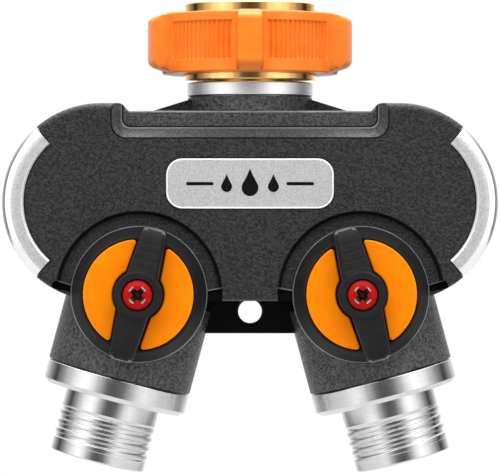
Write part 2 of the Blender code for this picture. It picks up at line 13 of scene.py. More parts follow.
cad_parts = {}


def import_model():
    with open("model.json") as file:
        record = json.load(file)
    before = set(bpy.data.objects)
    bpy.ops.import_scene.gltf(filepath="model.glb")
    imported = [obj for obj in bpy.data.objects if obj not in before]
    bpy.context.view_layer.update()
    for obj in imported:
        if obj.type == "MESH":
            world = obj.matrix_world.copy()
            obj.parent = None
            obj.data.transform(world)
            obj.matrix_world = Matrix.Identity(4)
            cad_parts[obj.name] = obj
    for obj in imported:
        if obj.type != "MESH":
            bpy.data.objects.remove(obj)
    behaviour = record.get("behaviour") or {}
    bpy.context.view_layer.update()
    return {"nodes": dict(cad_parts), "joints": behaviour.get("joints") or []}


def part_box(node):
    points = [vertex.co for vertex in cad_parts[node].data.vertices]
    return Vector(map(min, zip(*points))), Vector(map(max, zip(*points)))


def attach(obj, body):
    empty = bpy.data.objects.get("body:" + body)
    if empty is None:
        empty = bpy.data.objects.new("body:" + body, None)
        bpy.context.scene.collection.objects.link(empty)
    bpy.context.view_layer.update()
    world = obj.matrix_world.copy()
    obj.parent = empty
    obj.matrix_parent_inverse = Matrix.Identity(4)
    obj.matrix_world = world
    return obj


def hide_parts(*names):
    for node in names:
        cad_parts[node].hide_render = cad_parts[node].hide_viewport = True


MM = 0.001
WELD = 1e-6
GAP = 0.3

# Casing
EDGE_R = 1.8
WALL = 4.0
CAVITY_HALF = 15.3
NOTCH_X = 34.4
NOTCH_Z = -16.25
NOTCH_CORNER = 1.6
SADDLE_FACE = 18.0
SADDLE_SLOPE = 3.0
SADDLE_OUTER = (38.0, -23.8, 4.1)
SADDLE_INNER = (35.05, -20.7, 2.2)
POCKET_R = 22.1
POCKET_FACE = 20.4
POCKET_LIP = 0.8
POCKET_STEPS = ([(-53.6, -62.9), (-48.6, -64.5), (-48.9, -66.2), (-54.6, -64.9)],
                [(-11.8, -65.9), (-7.6, -65.1), (-7.6, -69.5), (-11.8, -69.5)])
ARM_R = 20.3
NECK_R = 17.4
NECK_BORE_R = 14.3
WEB_HALF = 6.0
TAB_HALF = 3.0
TAB_BOTTOM = -77.9
HOLE_Z = -71.8
HOLE_R = 3.3
POST_R = 3.8
HEAD_SEAT = 19.0
HEAD_R = 3.2
SHANK_R = 1.5

# Shell finishes by material number: saddle and coarse are lighter copies of the casing plastic, painted
# light; rim is a painted highlight for glints on edges; tab is a smooth black used as painted shade.
SHELL_FINISHES = ("casing", "saddle", "rim", "tab", "coarse")
CASING, SADDLE, PAINTED_GLINT, PAINTED_SHADE, COARSE_PAINTED_LIGHT = range(len(SHELL_FINISHES))

# Trims
TRIM_ANGLE = 48.7
TRIM_THICK = 1.5
TRIM_WIDTH = 6.0
BADGE_CORNER = 4.5

# Valves and outlets, measured along each barrel from the knob axis
LEAN = 15.0
BARREL_R = 16.0
BARREL_TOP = 36.0
BARREL_END = 23.9
CHAMBER_R = 13.35
PASSAGE_R = 7.5
BALL_R = 11.0
BALL_BORE_R = 6.5
SEAT_NEAR = 6.6
SEAT_FAR = 9.0
STEM_BOSS_R = 6.5
STEM_WAY_R = 3.6
OUTLET_END = 48.3
OUTLET_PITCH = 2.57
OUTLET_THREAD = (35.0, 45.3)
OUTLET_THREAD_R = 13.5
OUTLET_THREAD_DEPTH = 0.42
# Knob screw recess finishes: SCREW_CROSS is the steel painted as shade, SCREW_TIP_GLINT the white painted
# glints.
SCREW_CROSS, SCREW_TIP_GLINT = 1, 2

# Inlet
GALLERY_R = 12.5
GALLERY_Z = -38.0
TAIL_BORE_R = 10.6
TAIL_FLOOR = -25.3
SLEEVE_R = 18.4
NUT_PITCH = 25.4 / 11.5
NUT_THREAD = (1.8, 12.2)
NUT_THREAD_R = 12.6
NUT_THREAD_DEPTH = 1.0
PANEL_R = 24.6
LUGS = 5
LUG_R = 29.0
LUG_HALF = 6.3
LUG_FOOT = 9.3
RIB_PITCH = 3.56
RIB_DEPTH = 0.72

# Studio: the floor is low enough to stay out of the camera's level view
STAGE_Z = -51.0
FLOOR_Z = -1300.0
FLOOR_R = 4000.0
SIDE_LEVEL = 1.6
OVERHEAD_LEVEL = 2.2


def mm_box(node):
    """Lowest and highest corner of a CAD node, in millimetres."""
    low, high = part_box(node)
    return low / MM, high / MM


# ---------------------------------------------------------------- shapes

def spun(degrees, axis):
    """Turn about an axis, as a 4 by 4 matrix."""
    return Matrix.Rotation(math.radians(degrees), 4, axis)


def arc(x, y, radius, start, end, steps):
    """Points on an arc from start to end degrees, both ends included."""
    turns = [math.radians(start + (end - start) * i / steps) for i in range(steps + 1)]
    return [(x + radius * math.cos(turn), y + radius * math.sin(turn)) for turn in turns]


def soft(points, steps=5, closed=True):
    """Outline of (x, y) or (x, y, fillet radius) points, with each fillet worked out as an arc."""
    made = []
    count = len(points)
    for i, point in enumerate(points):
        here = Vector(point[:2])
        radius = point[2] if len(point) > 2 else 0.0
        if radius == 0.0 or (not closed and i in (0, count - 1)):
            made.append(tuple(here))
            continue
        back = Vector(points[i - 1][:2]) - here
        ahead = Vector(points[(i + 1) % count][:2]) - here
        half = 0.5 * back.angle(ahead)
        reach = min(radius / math.tan(half), 0.49 * back.length, 0.49 * ahead.length)
        radius = reach * math.tan(half)
        centre = here + (back.normalized() + ahead.normalized()).normalized() * radius / math.sin(half)
        first = here + back.normalized() * reach - centre
        sweep = first.angle_signed(here + ahead.normalized() * reach - centre)
        for step in range(steps + 1):
            made.append(tuple(centre + Matrix.Rotation(-sweep * step / steps, 2) @ first))
    return made


def turned(profile, steps=96, sweep=360.0, start=0.0, bands=(), warp=None):
    """Solid turned about local Z from (radius, height) points. bands gives each stretch's material, and
    warp(radius, height, turn) may move a point in its own half-plane."""
    shape = bmesh.new()
    whole = sweep >= 360.0
    columns = []
    for step in range(steps if whole else steps + 1):
        turn = math.radians(start + sweep * step / steps)
        column = []
        for radius, height in profile:
            r, h = warp(radius, height, turn) if warp else (radius, height)
            column.append(shape.verts.new((r * math.cos(turn) * MM, r * math.sin(turn) * MM, h * MM)))
        columns.append(column)
    count = len(profile)
    last = count if profile[0][0] > 0.0 else count - 1
    following = columns[1:] + columns[:1] if whole else columns[1:]
    for here, there in zip(columns, following):
        for i in range(last):
            j = (i + 1) % count
            face = shape.faces.new((here[i], there[i], there[j], here[j]))
            if bands:
                face.material_index = bands[i]
    if not whole:
        shape.faces.new(columns[0])
        shape.faces.new(columns[-1])
    bmesh.ops.remove_doubles(shape, verts=shape.verts, dist=WELD)
    bmesh.ops.dissolve_degenerate(shape, edges=shape.edges, dist=WELD)
    return shape


def rod(radius, low, high, steps=64, start=0.0):
    """Plain cylinder along local Z, for cutters and unions."""
    return turned([(0.0, high), (radius, high), (radius, low), (0.0, low)], steps, 360.0, start)


def lofted(rings, bands=()):
    """Closed solid through rings of matching (x, y, z) points, with flat ends."""
    shape = bmesh.new()
    loops = [[shape.verts.new(Vector(point) * MM) for point in ring] for ring in rings]
    count = len(loops[0])
    for level, (low, high) in enumerate(zip(loops, loops[1:])):
        for i in range(count):
            j = (i + 1) % count
            face = shape.faces.new((low[i], low[j], high[j], high[i]))
            if bands:
                face.material_index = bands[level]
    shape.faces.new(loops[0])
    shape.faces.new(loops[-1])
    return shape


def layered(levels, bands=()):
    """Solid through (outline, y) levels, with outlines in X and Z."""
    return lofted([[(x, y, z) for x, z in outline] for outline, y in levels], bands)


def stacked(levels):
    """Solid through (outline, height) levels, with outlines in local X and Y."""
    return lofted([[(x, y, z) for x, y in outline] for outline, z in levels])


def slab(outline, front, back):
    """Outline in X and Z, carried from Y = front to Y = back."""
    return layered(((outline, front), (outline, back)))


def block(outline, low, high):
    """Outline in local X and Y, carried from one height to another."""
    return stacked(((outline, low), (outline, high)))


def rounded_rectangle(half_x, half_y, corner, y=0.0, steps=10):
    """Rectangle with round corners, about (0, y)."""
    points = []
    for quarter, (sx, sy) in enumerate(((1, 1), (-1, 1), (-1, -1), (1, -1))):
        points += arc(sx * (half_x - corner), y + sy * (half_y - corner), corner,
                      90.0 * quarter, 90.0 * quarter + 90.0, steps)
    return points


def rectangle(half_x, half_y, x=0.0, y=0.0):
    """Rectangle about (x, y)."""
    return [(x + sx * half_x, y + sy * half_y) for sx, sy in ((-1, -1), (1, -1), (1, 1), (-1, 1))]


def painted(shape, number):
    """The bmesh with one material number on every face."""
    for face in shape.faces:
        face.material_index = number
    return shape


def made_object(name, shape, mats=(), place=None):
    """Object from a closed bmesh, faces outwards, in its place in the row frame."""
    bmesh.ops.recalc_face_normals(shape, faces=shape.faces)
    if shape.calc_volume(signed=True) < 0.0:
        bmesh.ops.reverse_faces(shape, faces=shape.faces)
    mesh = bpy.data.meshes.new(name)
    shape.to_mesh(mesh)
    shape.free()
    for mat in mats:
        mesh.materials.append(mat)
    made = bpy.data.objects.new(name, mesh)
    made.matrix_world = place or Matrix.Identity(4)
    bpy.context.scene.collection.objects.link(made)
    return made


def combine(target, operation, *tools):
    """Unions or cuts target with each (bmesh, place) tool, and applies the result."""
    helpers = []
    for number, (shape, place) in enumerate(tools):
        helper = made_object(f"tool_{number}", shape, (), place)
        helpers.append(helper)
        step = target.modifiers.new("combine", "BOOLEAN")
        step.object = helper
        step.operation = operation
        step.solver = "EXACT"
    bpy.context.view_layer.update()
    settled = target.evaluated_get(bpy.context.evaluated_depsgraph_get())
    mesh = bpy.data.meshes.new_from_object(settled)
    target.modifiers.clear()
    target.data = mesh
    for helper in helpers:
        bpy.data.objects.remove(helper, do_unlink=True)


def finish_piece(made, body, slot_name, *nodes, sharp=32.0):
    """Smooth shading with sharp creases, then the piece rides on its body in place of its CAD nodes."""
    made.data.shade_smooth()
    made.data.set_sharp_from_angle(angle=math.radians(sharp))
    weigh = made.modifiers.new("weigh", "WEIGHTED_NORMAL")
    weigh.keep_sharp = True
    weigh.weight = 80
    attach(made, body)
    if nodes:
        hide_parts(*nodes)


# ---------------------------------------------------------------- materials

def add(tree, kind, inputs=None, **settings):
    """Shader node with its settings, and inputs given as values or as sockets to link."""
    made = tree.nodes.new(kind)
    for key, value in settings.items():
        setattr(made, key, value)
    for key, value in (inputs or {}).items():
        if isinstance(value, bpy.types.NodeSocket):
            tree.links.new(value, made.inputs[key])
        else:
            made.inputs[key].default_value = value
    return made


def surface(name, roughness, metallic=0.0, **constants):
    """Principled material and its tree, shader and object coordinates."""
    mat = bpy.data.materials.new(name)
    mat.use_nodes = True
    tree = mat.node_tree
    shader = tree.nodes["Principled BSDF"]
    shader.inputs["Roughness"].default_value = roughness
    shader.inputs["Metallic"].default_value = metallic
    for key, value in constants.items():
        shader.inputs[key.replace("_", " ")].default_value = value
    coords = add(tree, "ShaderNodeTexCoord").outputs["Object"]
    return mat, tree, shader, coords


def tone(tree, shader, factor, dark, light, low=0.0, high=1.0):
    """Base colour between two colours, by a 0 to 1 factor."""
    ramp = add(tree, "ShaderNodeValToRGB", {"Fac": factor})
    ramp.color_ramp.elements[0].position = low
    ramp.color_ramp.elements[1].position = high
    ramp.color_ramp.elements[0].color = (*dark, 1.0)
    ramp.color_ramp.elements[1].color = (*light, 1.0)
    tree.links.new(ramp.outputs["Color"], shader.inputs["Base Color"])


def gloss(tree, shader, factor, low, high):
    """Roughness between two values, by a 0 to 1 factor."""
    span = add(tree, "ShaderNodeMapRange", {"Value": factor, "To Min": low, "To Max": high})
    tree.links.new(span.outputs["Result"], shader.inputs["Roughness"])


def relief(tree, shader, height, depth, strength=1.0):
    """Bump of a real depth in millimetres."""
    bump = add(tree, "ShaderNodeBump", {"Height": height, "Strength": strength, "Distance": depth * MM})
    tree.links.new(bump.outputs["Normal"], shader.inputs["Normal"])


def noise(tree, coords, size, detail=3.0, rough=0.55):
    """Noise with features of a size in millimetres."""
    return add(tree, "ShaderNodeTexNoise", {"Vector": coords, "Scale": 1.0 / (size * MM), "Detail": detail,
                                            "Roughness": rough}).outputs["Fac"]


def mixed(tree, first, second, share):
    """Two heights mixed, with share of the second."""
    return add(tree, "ShaderNodeMix", {"Factor": share, "A": first, "B": second}).outputs["Result"]


def stretched(tree, coords, scale):
    """Coordinates scaled differently along each axis."""
    return add(tree, "ShaderNodeMapping", {"Vector": coords, "Scale": scale}).outputs["Vector"]


def grained_plastic(name, dark, light, size, depth, shine=0.6):
    """Moulded plastic with a leather-like grain: fine sharp pebbles, in patches of slightly uneven tone."""
    mat, tree, shader, coords = surface(name, 0.4, Specular_IOR_Level=shine)
    pebbles = add(tree, "ShaderNodeTexVoronoi", {"Vector": coords, "Scale": 1.0 / (1.3 * size * MM)},
                  feature="SMOOTH_F1").outputs["Distance"]
    grain = mixed(tree, noise(tree, coords, size, 2.0, 0.7), pebbles, 0.25)
    tone(tree, shader, grain, dark, light, 0.38, 0.58)
    gloss(tree, shader, noise(tree, coords, 1.4), 0.30, 0.48)
    relief(tree, shader, grain, depth)
    return mat


def smooth_plastic(name, dark, light, low, high, depth=0.01, shine=0.4):
    """Plainer moulded plastic: faint clouding and a very fine tool texture."""
    mat, tree, shader, coords = surface(name, low, Specular_IOR_Level=shine)
    cloud = noise(tree, coords, 6.0, 4.0)
    tone(tree, shader, cloud, dark, light, 0.3, 0.7)
    gloss(tree, shader, noise(tree, coords, 1.0), low, high)
    relief(tree, shader, noise(tree, coords, 0.35, 2.0), depth)
    return mat


def blasted_metal(name, dark, light, low, high, depth=0.012):
    """Satin metal with a fine blasted speckle."""
    mat, tree, shader, coords = surface(name, low, 1.0)
    speckle = noise(tree, coords, 0.42, 2.0, 0.7)
    tone(tree, shader, speckle, dark, light, 0.35, 0.65)
    gloss(tree, shader, noise(tree, coords, 0.8), low, high)
    relief(tree, shader, speckle, depth)
    return mat


def lathed_metal(name, dark, light, low, high, depth=0.004):
    """Turned metal: fine rings round local Z, a few deeper than the rest."""
    mat, tree, shader, coords = surface(name, low, 1.0)
    rings = noise(tree, stretched(tree, coords, (0.02, 0.02, 1.0)), 0.12, 3.0, 0.6)
    cloud = noise(tree, coords, 3.0, 3.0)
    tone(tree, shader, mixed(tree, rings, cloud, 0.4), dark, light, 0.3, 0.7)
    gloss(tree, shader, cloud, low, high)
    relief(tree, shader, rings, depth)
    return mat


def make_materials():
    """All finishes by name. Colours are linear."""
    return {
        "casing": grained_plastic(
            "casing_leather_grain", (0.0, 0.0, 0.0), (0.026, 0.026, 0.027), 0.62, 0.42, 0.34),
        # Partly painted light: a coarser grain, in a lighter copy of the casing plastic that stands for the
        # light on the arms and neck.
        "coarse": grained_plastic(
            "casing_coarse_grain_painted_light", (0.001, 0.001, 0.001), (0.08, 0.08, 0.081), 0.75, 0.6),
        # Painted light: a lighter copy of the casing plastic for the upward-facing saddle band and its
        # recessed panel.
        "saddle": grained_plastic(
            "saddle_painted_light_grain", (0.03, 0.031, 0.033), (0.088, 0.09, 0.093), 0.55, 0.1, 0.15),
        # Painted shade: a near-black, smooth copy of the casing plastic for the shaded tab, creases, pocket
        # walls and steps.
        "tab": smooth_plastic(
            "painted_shade_smooth_black", (0.0015, 0.0015, 0.0015), (0.004, 0.004, 0.004), 0.5, 0.6, 0.01, 0.1),
        "rubber": grained_plastic("rubber_black", (0.01, 0.01, 0.01), (0.022, 0.022, 0.022), 0.3, 0.02),
        "knob": smooth_plastic(
            "knob_matt_black", (0.008, 0.008, 0.009), (0.014, 0.014, 0.015), 0.55, 0.65, 0.012, 0.15),
        # Painted highlights: light grey copies of the black knob plastic for lit edges; the rim one also
        # draws the shells' painted glints.
        "edge": smooth_plastic(
            "knob_painted_edge_highlight", (0.075, 0.075, 0.076), (0.11, 0.11, 0.112), 0.3, 0.4, 0.01, 0.5),
        "rim": smooth_plastic("knob_painted_rim_highlight", (0.13, 0.13, 0.132), (0.2, 0.2, 0.203), 0.3, 0.4, 0.01, 0.5),
        "inlay": smooth_plastic(
            "inlay_orange", (1.0, 0.22, 0.0), (1.0, 0.265, 0.001), 0.3, 0.42, 0.006, 0.12),
        "grip": smooth_plastic(
            "grip_orange", (0.86, 0.185, 0.013), (0.92, 0.228, 0.02), 0.28, 0.38, 0.01, 0.25),
        "red": smooth_plastic(
            "screw_red_enamel", (0.36, 0.002, 0.001), (0.43, 0.004, 0.003), 0.3, 0.42, 0.01, 0.1),
        # White for the real valve seats; the knob screws also use it for painted glints at their cross's
        # tips.
        "seat": smooth_plastic("seat_white", (0.74, 0.74, 0.72), (0.84, 0.84, 0.82), 0.38, 0.5),
        "mark": smooth_plastic(
            "mark_black_enamel", (0.002, 0.002, 0.002), (0.005, 0.005, 0.005), 0.4, 0.5, 0.01, 0.1),
        "satin": blasted_metal(
            "trim_satin_silver", (0.55, 0.55, 0.56), (0.74, 0.74, 0.75), 0.46, 0.58, 0.012),
        # Painted highlight: a near-white, rougher copy of the trim metal for the real bevels of the trims
        # and the badge.
        "bright": blasted_metal("trim_painted_highlight_edge", (0.95, 0.95, 0.95), (1.0, 1.0, 1.0), 0.55, 0.65, 0.004),
        "collar": blasted_metal(
            "collar_satin_nickel", (0.84, 0.84, 0.85), (0.98, 0.98, 0.99), 0.36, 0.46, 0.006),
        # Painted shade: the cross recess's steel is darkened to near black for the shade inside it.
        "steel": blasted_metal("recess_steel_painted_shade", (0.03, 0.03, 0.03), (0.1, 0.1, 0.11), 0.25, 0.4, 0.02),
        "zinc": blasted_metal("screw_zinc", (0.45, 0.45, 0.46), (0.62, 0.62, 0.64), 0.28, 0.4, 0.01),
        "polish": lathed_metal("polished_silver", (0.84, 0.84, 0.85), (0.94, 0.94, 0.95), 0.1, 0.18, 0.002),
        "nipple": lathed_metal("turned_silver", (0.6, 0.6, 0.61), (0.74, 0.74, 0.75), 0.15, 0.24, 0.003),
        "brass": lathed_metal("polished_brass", (0.92, 0.51, 0.15), (1.0, 0.62, 0.25), 0.06, 0.1, 0.0015),
        "chrome": lathed_metal("ball_chrome", (0.78, 0.78, 0.8), (0.86, 0.86, 0.88), 0.04, 0.08, 0.001),
    }


# ---------------------------------------------------------------- frame sizes

def read_frame(frame):
    """The main sizes, from the CAD boxes and joints."""
    trim_low, trim_high = mm_box("right_side_trim")
    shell_low, shell_high = mm_box("front_shell")
    badge_low, badge_high = mm_box("badge_plate")
    sleeve_low, sleeve_high = mm_box("swivel_nut_sleeve")
    lobe_r = 0.5 * (trim_high.z - trim_low.z) / math.sin(math.radians(TRIM_ANGLE))
    screws = [mm_box(f"casing_screw_{number}") for number in range(1, 6)]
    knobs = {joint["child"]: Vector(joint["pos_m"]) for joint in frame["joints"]}
    return {
        "lobe_z": 0.5 * (trim_low.z + trim_high.z),
        "lobe_r": lobe_r,
        "lobe_x": trim_high.x - lobe_r,
        "depth": -shell_low.y,
        "trim_face": trim_high.y,
        "neck_top": shell_high.z,
        "badge": (badge_high.x, 0.5 * (badge_high.z - badge_low.z), 0.5 * (badge_high.z + badge_low.z)),
        "badge_y": (badge_high.y, badge_low.y),
        "sleeve": (sleeve_low.z, sleeve_high.z),
        "collar_top": mm_box("manifold_core")[1].z,
        "screws": [(0.5 * (low.x + high.x), 0.5 * (low.z + high.z)) for low, high in screws],
        "knobs": [(side, sign, knobs[f"{side}_valve"]) for side, sign in (("left", -1), ("right", 1))],
    }


def barrel_place(sign, centre):
    """Frame of a barrel: local Z runs from the knob axis out of the outlet."""
    return Matrix.Translation(centre) @ spun(180.0 - sign * LEAN, "Y")


def knob_place(sign, centre):
    """Frame of a valve's moving parts: local Z faces the front, local Y points up the barrel."""
    return Matrix.Translation(centre) @ spun(-sign * LEAN, "Y") @ spun(90.0, "X")


def front_place(x, z):
    """Frame at (x, z) with local Z facing the front."""
    return Matrix.Translation(Vector((x, 0.0, z)) * MM) @ spun(90.0, "X")


# ---------------------------------------------------------------- casing

def casing_outline(size, inset, steps=48):
    """Bean outline in X and Z, drawn in by inset."""
    radius = size["lobe_r"] - inset
    shoulder = (NOTCH_X + inset + NOTCH_CORNER, size["lobe_z"] + radius - NOTCH_CORNER)
    right = arc(size["lobe_x"], size["lobe_z"], radius, -90.0, 90.0, steps)
    right += arc(*shoulder, NOTCH_CORNER, 90.0, 180.0, 8)
    right.append((NOTCH_X + inset, NOTCH_Z - inset))
    return right + [(-x, z) for x, z in reversed(right)]


def casing_block(size):
    """Whole bean with rounded front and back edges."""
    turns = [math.radians(11.25 * i) for i in range(9)]
    half = [(EDGE_R * (1.0 - math.sin(turn)), size["depth"] - EDGE_R * (1.0 - math.cos(turn)))
            for turn in turns]
    levels = [(inset, -y) for inset, y in half] + [(inset, y) for inset, y in reversed(half)]
    return layered([(casing_outline(size, inset), y) for inset, y in levels])


def saddle_ring(offset):
    """Outline of the saddle's recess, offset inwards from its outer line."""
    share = offset / SADDLE_SLOPE
    half_x, bottom, corner = [a + (b - a) * share for a, b in zip(SADDLE_OUTER, SADDLE_INNER)]
    corner = max(corner, 1.0)
    left = arc(-half_x + corner, bottom + corner, corner, 180.0, 270.0, 12)
    right = arc(half_x - corner, bottom + corner, corner, 270.0, 360.0, 12)
    return left + right + [(half_x, 0.0), (-half_x, 0.0)]


def saddle_cutter(size, side):
    """Sloped band and recessed panel, with painted shade in the creases at both ends of the slope and a
    painted glint inside.
    """
    depth = size["depth"]
    path = soft([(-3.0, depth), (0.0, depth, 0.5), (SADDLE_SLOPE, SADDLE_FACE, 0.5),
                 (2.0 * SADDLE_SLOPE, SADDLE_FACE)], 4, False)[1:-1]
    glint = (2.55, SADDLE_FACE + 0.15 * (depth - SADDLE_FACE))
    stations = [(path[0][0], depth + 4.0)] + path[:5] + [glint] + path[5:]
    # bands: the lighter saddle copy on the slope, painted shade in both creases, a painted glint between
    # them
    bands = [SADDLE] + [PAINTED_SHADE] * 4 + [SADDLE, PAINTED_GLINT] + [PAINTED_SHADE] * 4
    shape = layered([(saddle_ring(offset), side * y) for offset, y in stations], bands)
    shape.faces.ensure_lookup_table()
    shape.faces[-1].material_index = SADDLE
    return shape


def brow_cutter(side):
    """Rounds the long edge between a saddle panel and the casing's top, and gives the rounding a painted
    glint.
    """
    radius = 0.5
    curve = arc(SADDLE_FACE - radius, NOTCH_Z - radius, radius, 0.0, 90.0, 6)
    outline = [(SADDLE_FACE + 0.4, NOTCH_Z - radius)] + curve + [(SADDLE_FACE - radius, NOTCH_Z + 0.05),
                                                               (SADDLE_FACE + 0.4, NOTCH_Z + 0.05)]
    reach = NOTCH_X - 1.0
    shape = lofted([[(x, side * y, z) for y, z in outline] for x in (-reach, reach)])
    return painted(shape, PAINTED_GLINT)


def trim_groove(size):
    """Closed (radius, depth) profile of the room that a side trim takes."""
    inner = size["lobe_r"] - TRIM_WIDTH - GAP
    floor = size["trim_face"] - TRIM_THICK - GAP
    side = size["lobe_r"] - TRIM_THICK - GAP
    return [(inner, -26.0), (30.0, -26.0), (30.0, 26.0), (inner, 26.0),
            (inner, floor), (side, floor), (side, -floor), (inner, -floor)]


def casing_outside(size):
    """Arms, neck, webs and hanging tab, as tools that join the bean."""
    tools = []
    for _, sign, centre in size["knobs"]:
        arm = turned(soft([(0.0, 0.0), (ARM_R, 0.0), (ARM_R, BARREL_END, 0.4), (0.0, BARREL_END)], 4), 112)
        # arms and neck carry the lighter copy of the casing plastic, painted light
        tools.append((painted(arm, COARSE_PAINTED_LIGHT), barrel_place(sign, centre)))
    top = size["neck_top"]
    neck = turned(soft([(0.0, top), (NECK_R, top, 0.4), (NECK_R, -19.0), (0.0, -19.0)], 4), 112, 360.0, 1.0)
    tools.append((painted(neck, COARSE_PAINTED_LIGHT), None))
    rows = soft([(-TAB_HALF, 0.0), (-TAB_HALF, 1.0, 0.8), (TAB_HALF, 1.0, 0.8), (TAB_HALF, 0.0)], 5)[1:-1]
    rings = []
    for y, low in rows:
        z = TAB_BOTTOM + 1.0 - low
        rings.append([(-13.2, y, -66.5), (-14.0, y, z), (14.0, y, z), (13.2, y, -66.5)])
    # the tab is painted near-black as shade
    tools.append((painted(lofted(rings), PAINTED_SHADE), None))
    for sign in (-1, 1):
        web = soft([(15.0, -12.4), (17.4, -12.9, 2.0), (28.0, -16.2, 2.0), (31.0, -18.0), (15.0, -18.0)], 5)
        tools.append((slab([(sign * x, z) for x, z in web], -WEB_HALF, WEB_HALF), None))
    return tools


def casing_inside(size):
    """Hollow of both shells, as cutting tools."""
    tools = [(slab(casing_outline(size, WALL, 24), -CAVITY_HALF, CAVITY_HALF), None)]
    for _, sign, centre in size["knobs"]:
        room = rod(BARREL_R + GAP, -BARREL_TOP - GAP, BARREL_END + 5.0, 48, 3.0)
        tools.append((room, barrel_place(sign, centre)))
    tools.append((rod(NECK_BORE_R, -24.0, size["neck_top"] + 5.0, 48, 4.0), None))
    return tools


def screw_rods(size, radius, front, back, steps=24):
    """One rod for each casing screw, as separate tools."""
    return [(slab(arc(x, z, radius, 5.0, 365.0, steps)[:-1], front, back), None) for x, z in size["screws"]]


def casing_cuts(size, side):
    """Saddle, split, screw holes, hanging hole and trim grooves of one shell."""
    split = 0.5 * GAP
    tools = [(slab(rectangle(90.0, 80.0, 0.0, -50.0), -side * 40.0, side * split), None),
             (saddle_cutter(size, side), None), (brow_cutter(side), None)]
    tools += screw_rods(size, SHANK_R + GAP, -11.0, 30.0)
    rim_r, bevel_y = HOLE_R + 0.5, TAB_HALF - 0.5
    hole = soft([(0.0, -12.0), (rim_r, -12.0), (rim_r, -TAB_HALF), (HOLE_R, -bevel_y, 0.5),
                 (HOLE_R, bevel_y, 0.5), (rim_r, TAB_HALF), (rim_r, 12.0), (0.0, 12.0)], 4)
    tools.append((turned(hole, 64), front_place(0.0, HOLE_Z)))
    for start, sign in ((180.0, -1), (0.0, 1)):
        reach = TRIM_ANGLE + 0.7
        groove = turned(trim_groove(size), 48, 2.0 * reach, start - reach)
        tools.append((groove, front_place(sign * size["lobe_x"], size["lobe_z"])))
    return tools


def step_cutter(sign, outline):
    """Step where a pocket's floor drops away to the arm, painted black as shade, with a painted highlight
    along its upper edge.
    """
    (x0, z0), (x1, z1) = outline[:2]
    lifted = [(x0, z0 + 0.35), (x1, z1 + 0.35)] + outline[2:]
    levels = ((lifted, -30.0), (lifted, -POCKET_FACE), (outline, 0.35 - POCKET_FACE),
              (outline, 1.6 - POCKET_FACE))
    shape = painted(lofted([[(-sign * x, y, z) for x, z in points] for points, y in levels]), PAINTED_SHADE)
    shape.faces.ensure_lookup_table()
    for face in shape.faces[len(outline):2 * len(outline)]:
        face.material_index = PAINTED_GLINT
    return shape


def front_cuts(size):
    """Knob pockets with soft lips, stem holes and badge seat."""
    tools = []
    for _, sign, centre in size["knobs"]:
        place = front_place(centre.x / MM, centre.z / MM)
        top, outer = size["depth"] - POCKET_LIP, POCKET_R + POCKET_LIP
        wall = soft([(0.0, POCKET_FACE), (POCKET_R, POCKET_FACE, 0.5), (POCKET_R, top)], 5, False)[:-1]
        profile = wall + arc(outer, top, POCKET_LIP, 180.0, 90.0, 5) + [(outer, 30.0), (0.0, 30.0)]
        # the pocket's floor keeps the casing finish; its wall and lip are painted black as shade
        bands = [CASING] * len(wall) + [PAINTED_SHADE] * (len(profile) - len(wall))
        tools.append((turned(profile, 128, 360.0, 1.0, bands), place))
        tools.append((rod(STEM_BOSS_R + GAP, 10.0, 30.0, 48, 7.0), place))
        tools += [(step_cutter(sign, outline), None) for outline in POCKET_STEPS]
    half_x, half_z, z = size["badge"]
    seat = rounded_rectangle(half_x + GAP, half_z + GAP, BADGE_CORNER + GAP, z)
    tools.append((slab(seat, -30.0, size["badge_y"][0] + GAP), None))
    return tools


def make_shells(size, mats):
    """Front and rear shells from one bean."""
    for name, node, side in (("casing_front", "front_shell", -1), ("casing_rear", "rear_shell", 1)):
        shell = made_object(name, casing_block(size), [mats[finish] for finish in SHELL_FINISHES])
        combine(shell, "UNION", *casing_outside(size))
        combine(shell, "DIFFERENCE", *casing_inside(size))
        combine(shell, "UNION", *screw_rods(size, POST_R, -16.5, 16.5))
        combine(shell, "DIFFERENCE", *casing_cuts(size, side))
        if side < 0:
            combine(shell, "DIFFERENCE", *front_cuts(size))
        else:
            combine(shell, "DIFFERENCE", *screw_rods(size, HEAD_R + GAP, HEAD_SEAT, 30.0, 40))
        finish_piece(shell, "body", "casing", node)


def make_trims(size, mats):
    """Silver arcs: inner bevel with a painted highlight, satin band rolling over into a polished shoulder
    and side.
    """
    face, outer = size["trim_face"], size["lobe_r"]
    inner = outer - TRIM_WIDTH
    front = soft([(inner, -face + 1.4), (inner, -face + 0.7, 0.15), (inner + 0.65, -face, 0.15),
                  (outer - 2.9, -face, 5.0), (outer - 0.75, -face + 0.9, 1.2), (outer, -face + 2.4, 1.0),
                  (outer, -face + 4.0)], 5, False)
    outside = front + [(r, -y) for r, y in reversed(front)]
    under = face - TRIM_THICK
    inside = [(outer - TRIM_THICK, under), (outer - TRIM_THICK, -under)]
    profile = outside + inside
    polish, satin, bright = range(3)
    bands = []
    for (r0, y0), (r1, y1) in zip(profile, profile[1:] + profile[:1]):
        shallow = min(abs(y0), abs(y1)) > face - 0.3
        bevel = max(r0, r1) < inner + 0.8 and min(abs(y0), abs(y1)) > face - 0.9
        bands.append(bright if bevel else satin if shallow else polish)
    for name, start, sign in (("left_side_trim", 180.0, -1), ("right_side_trim", 0.0, 1)):
        shape = turned(profile, 96, 2.0 * TRIM_ANGLE, start - TRIM_ANGLE, bands)
        made = made_object(f"{name}_band", shape, [mats["polish"], mats["satin"], mats["bright"]],
                           front_place(sign * size["lobe_x"], size["lobe_z"]))
        finish_piece(made, "body", "silver_trim", name, sharp=24.0)


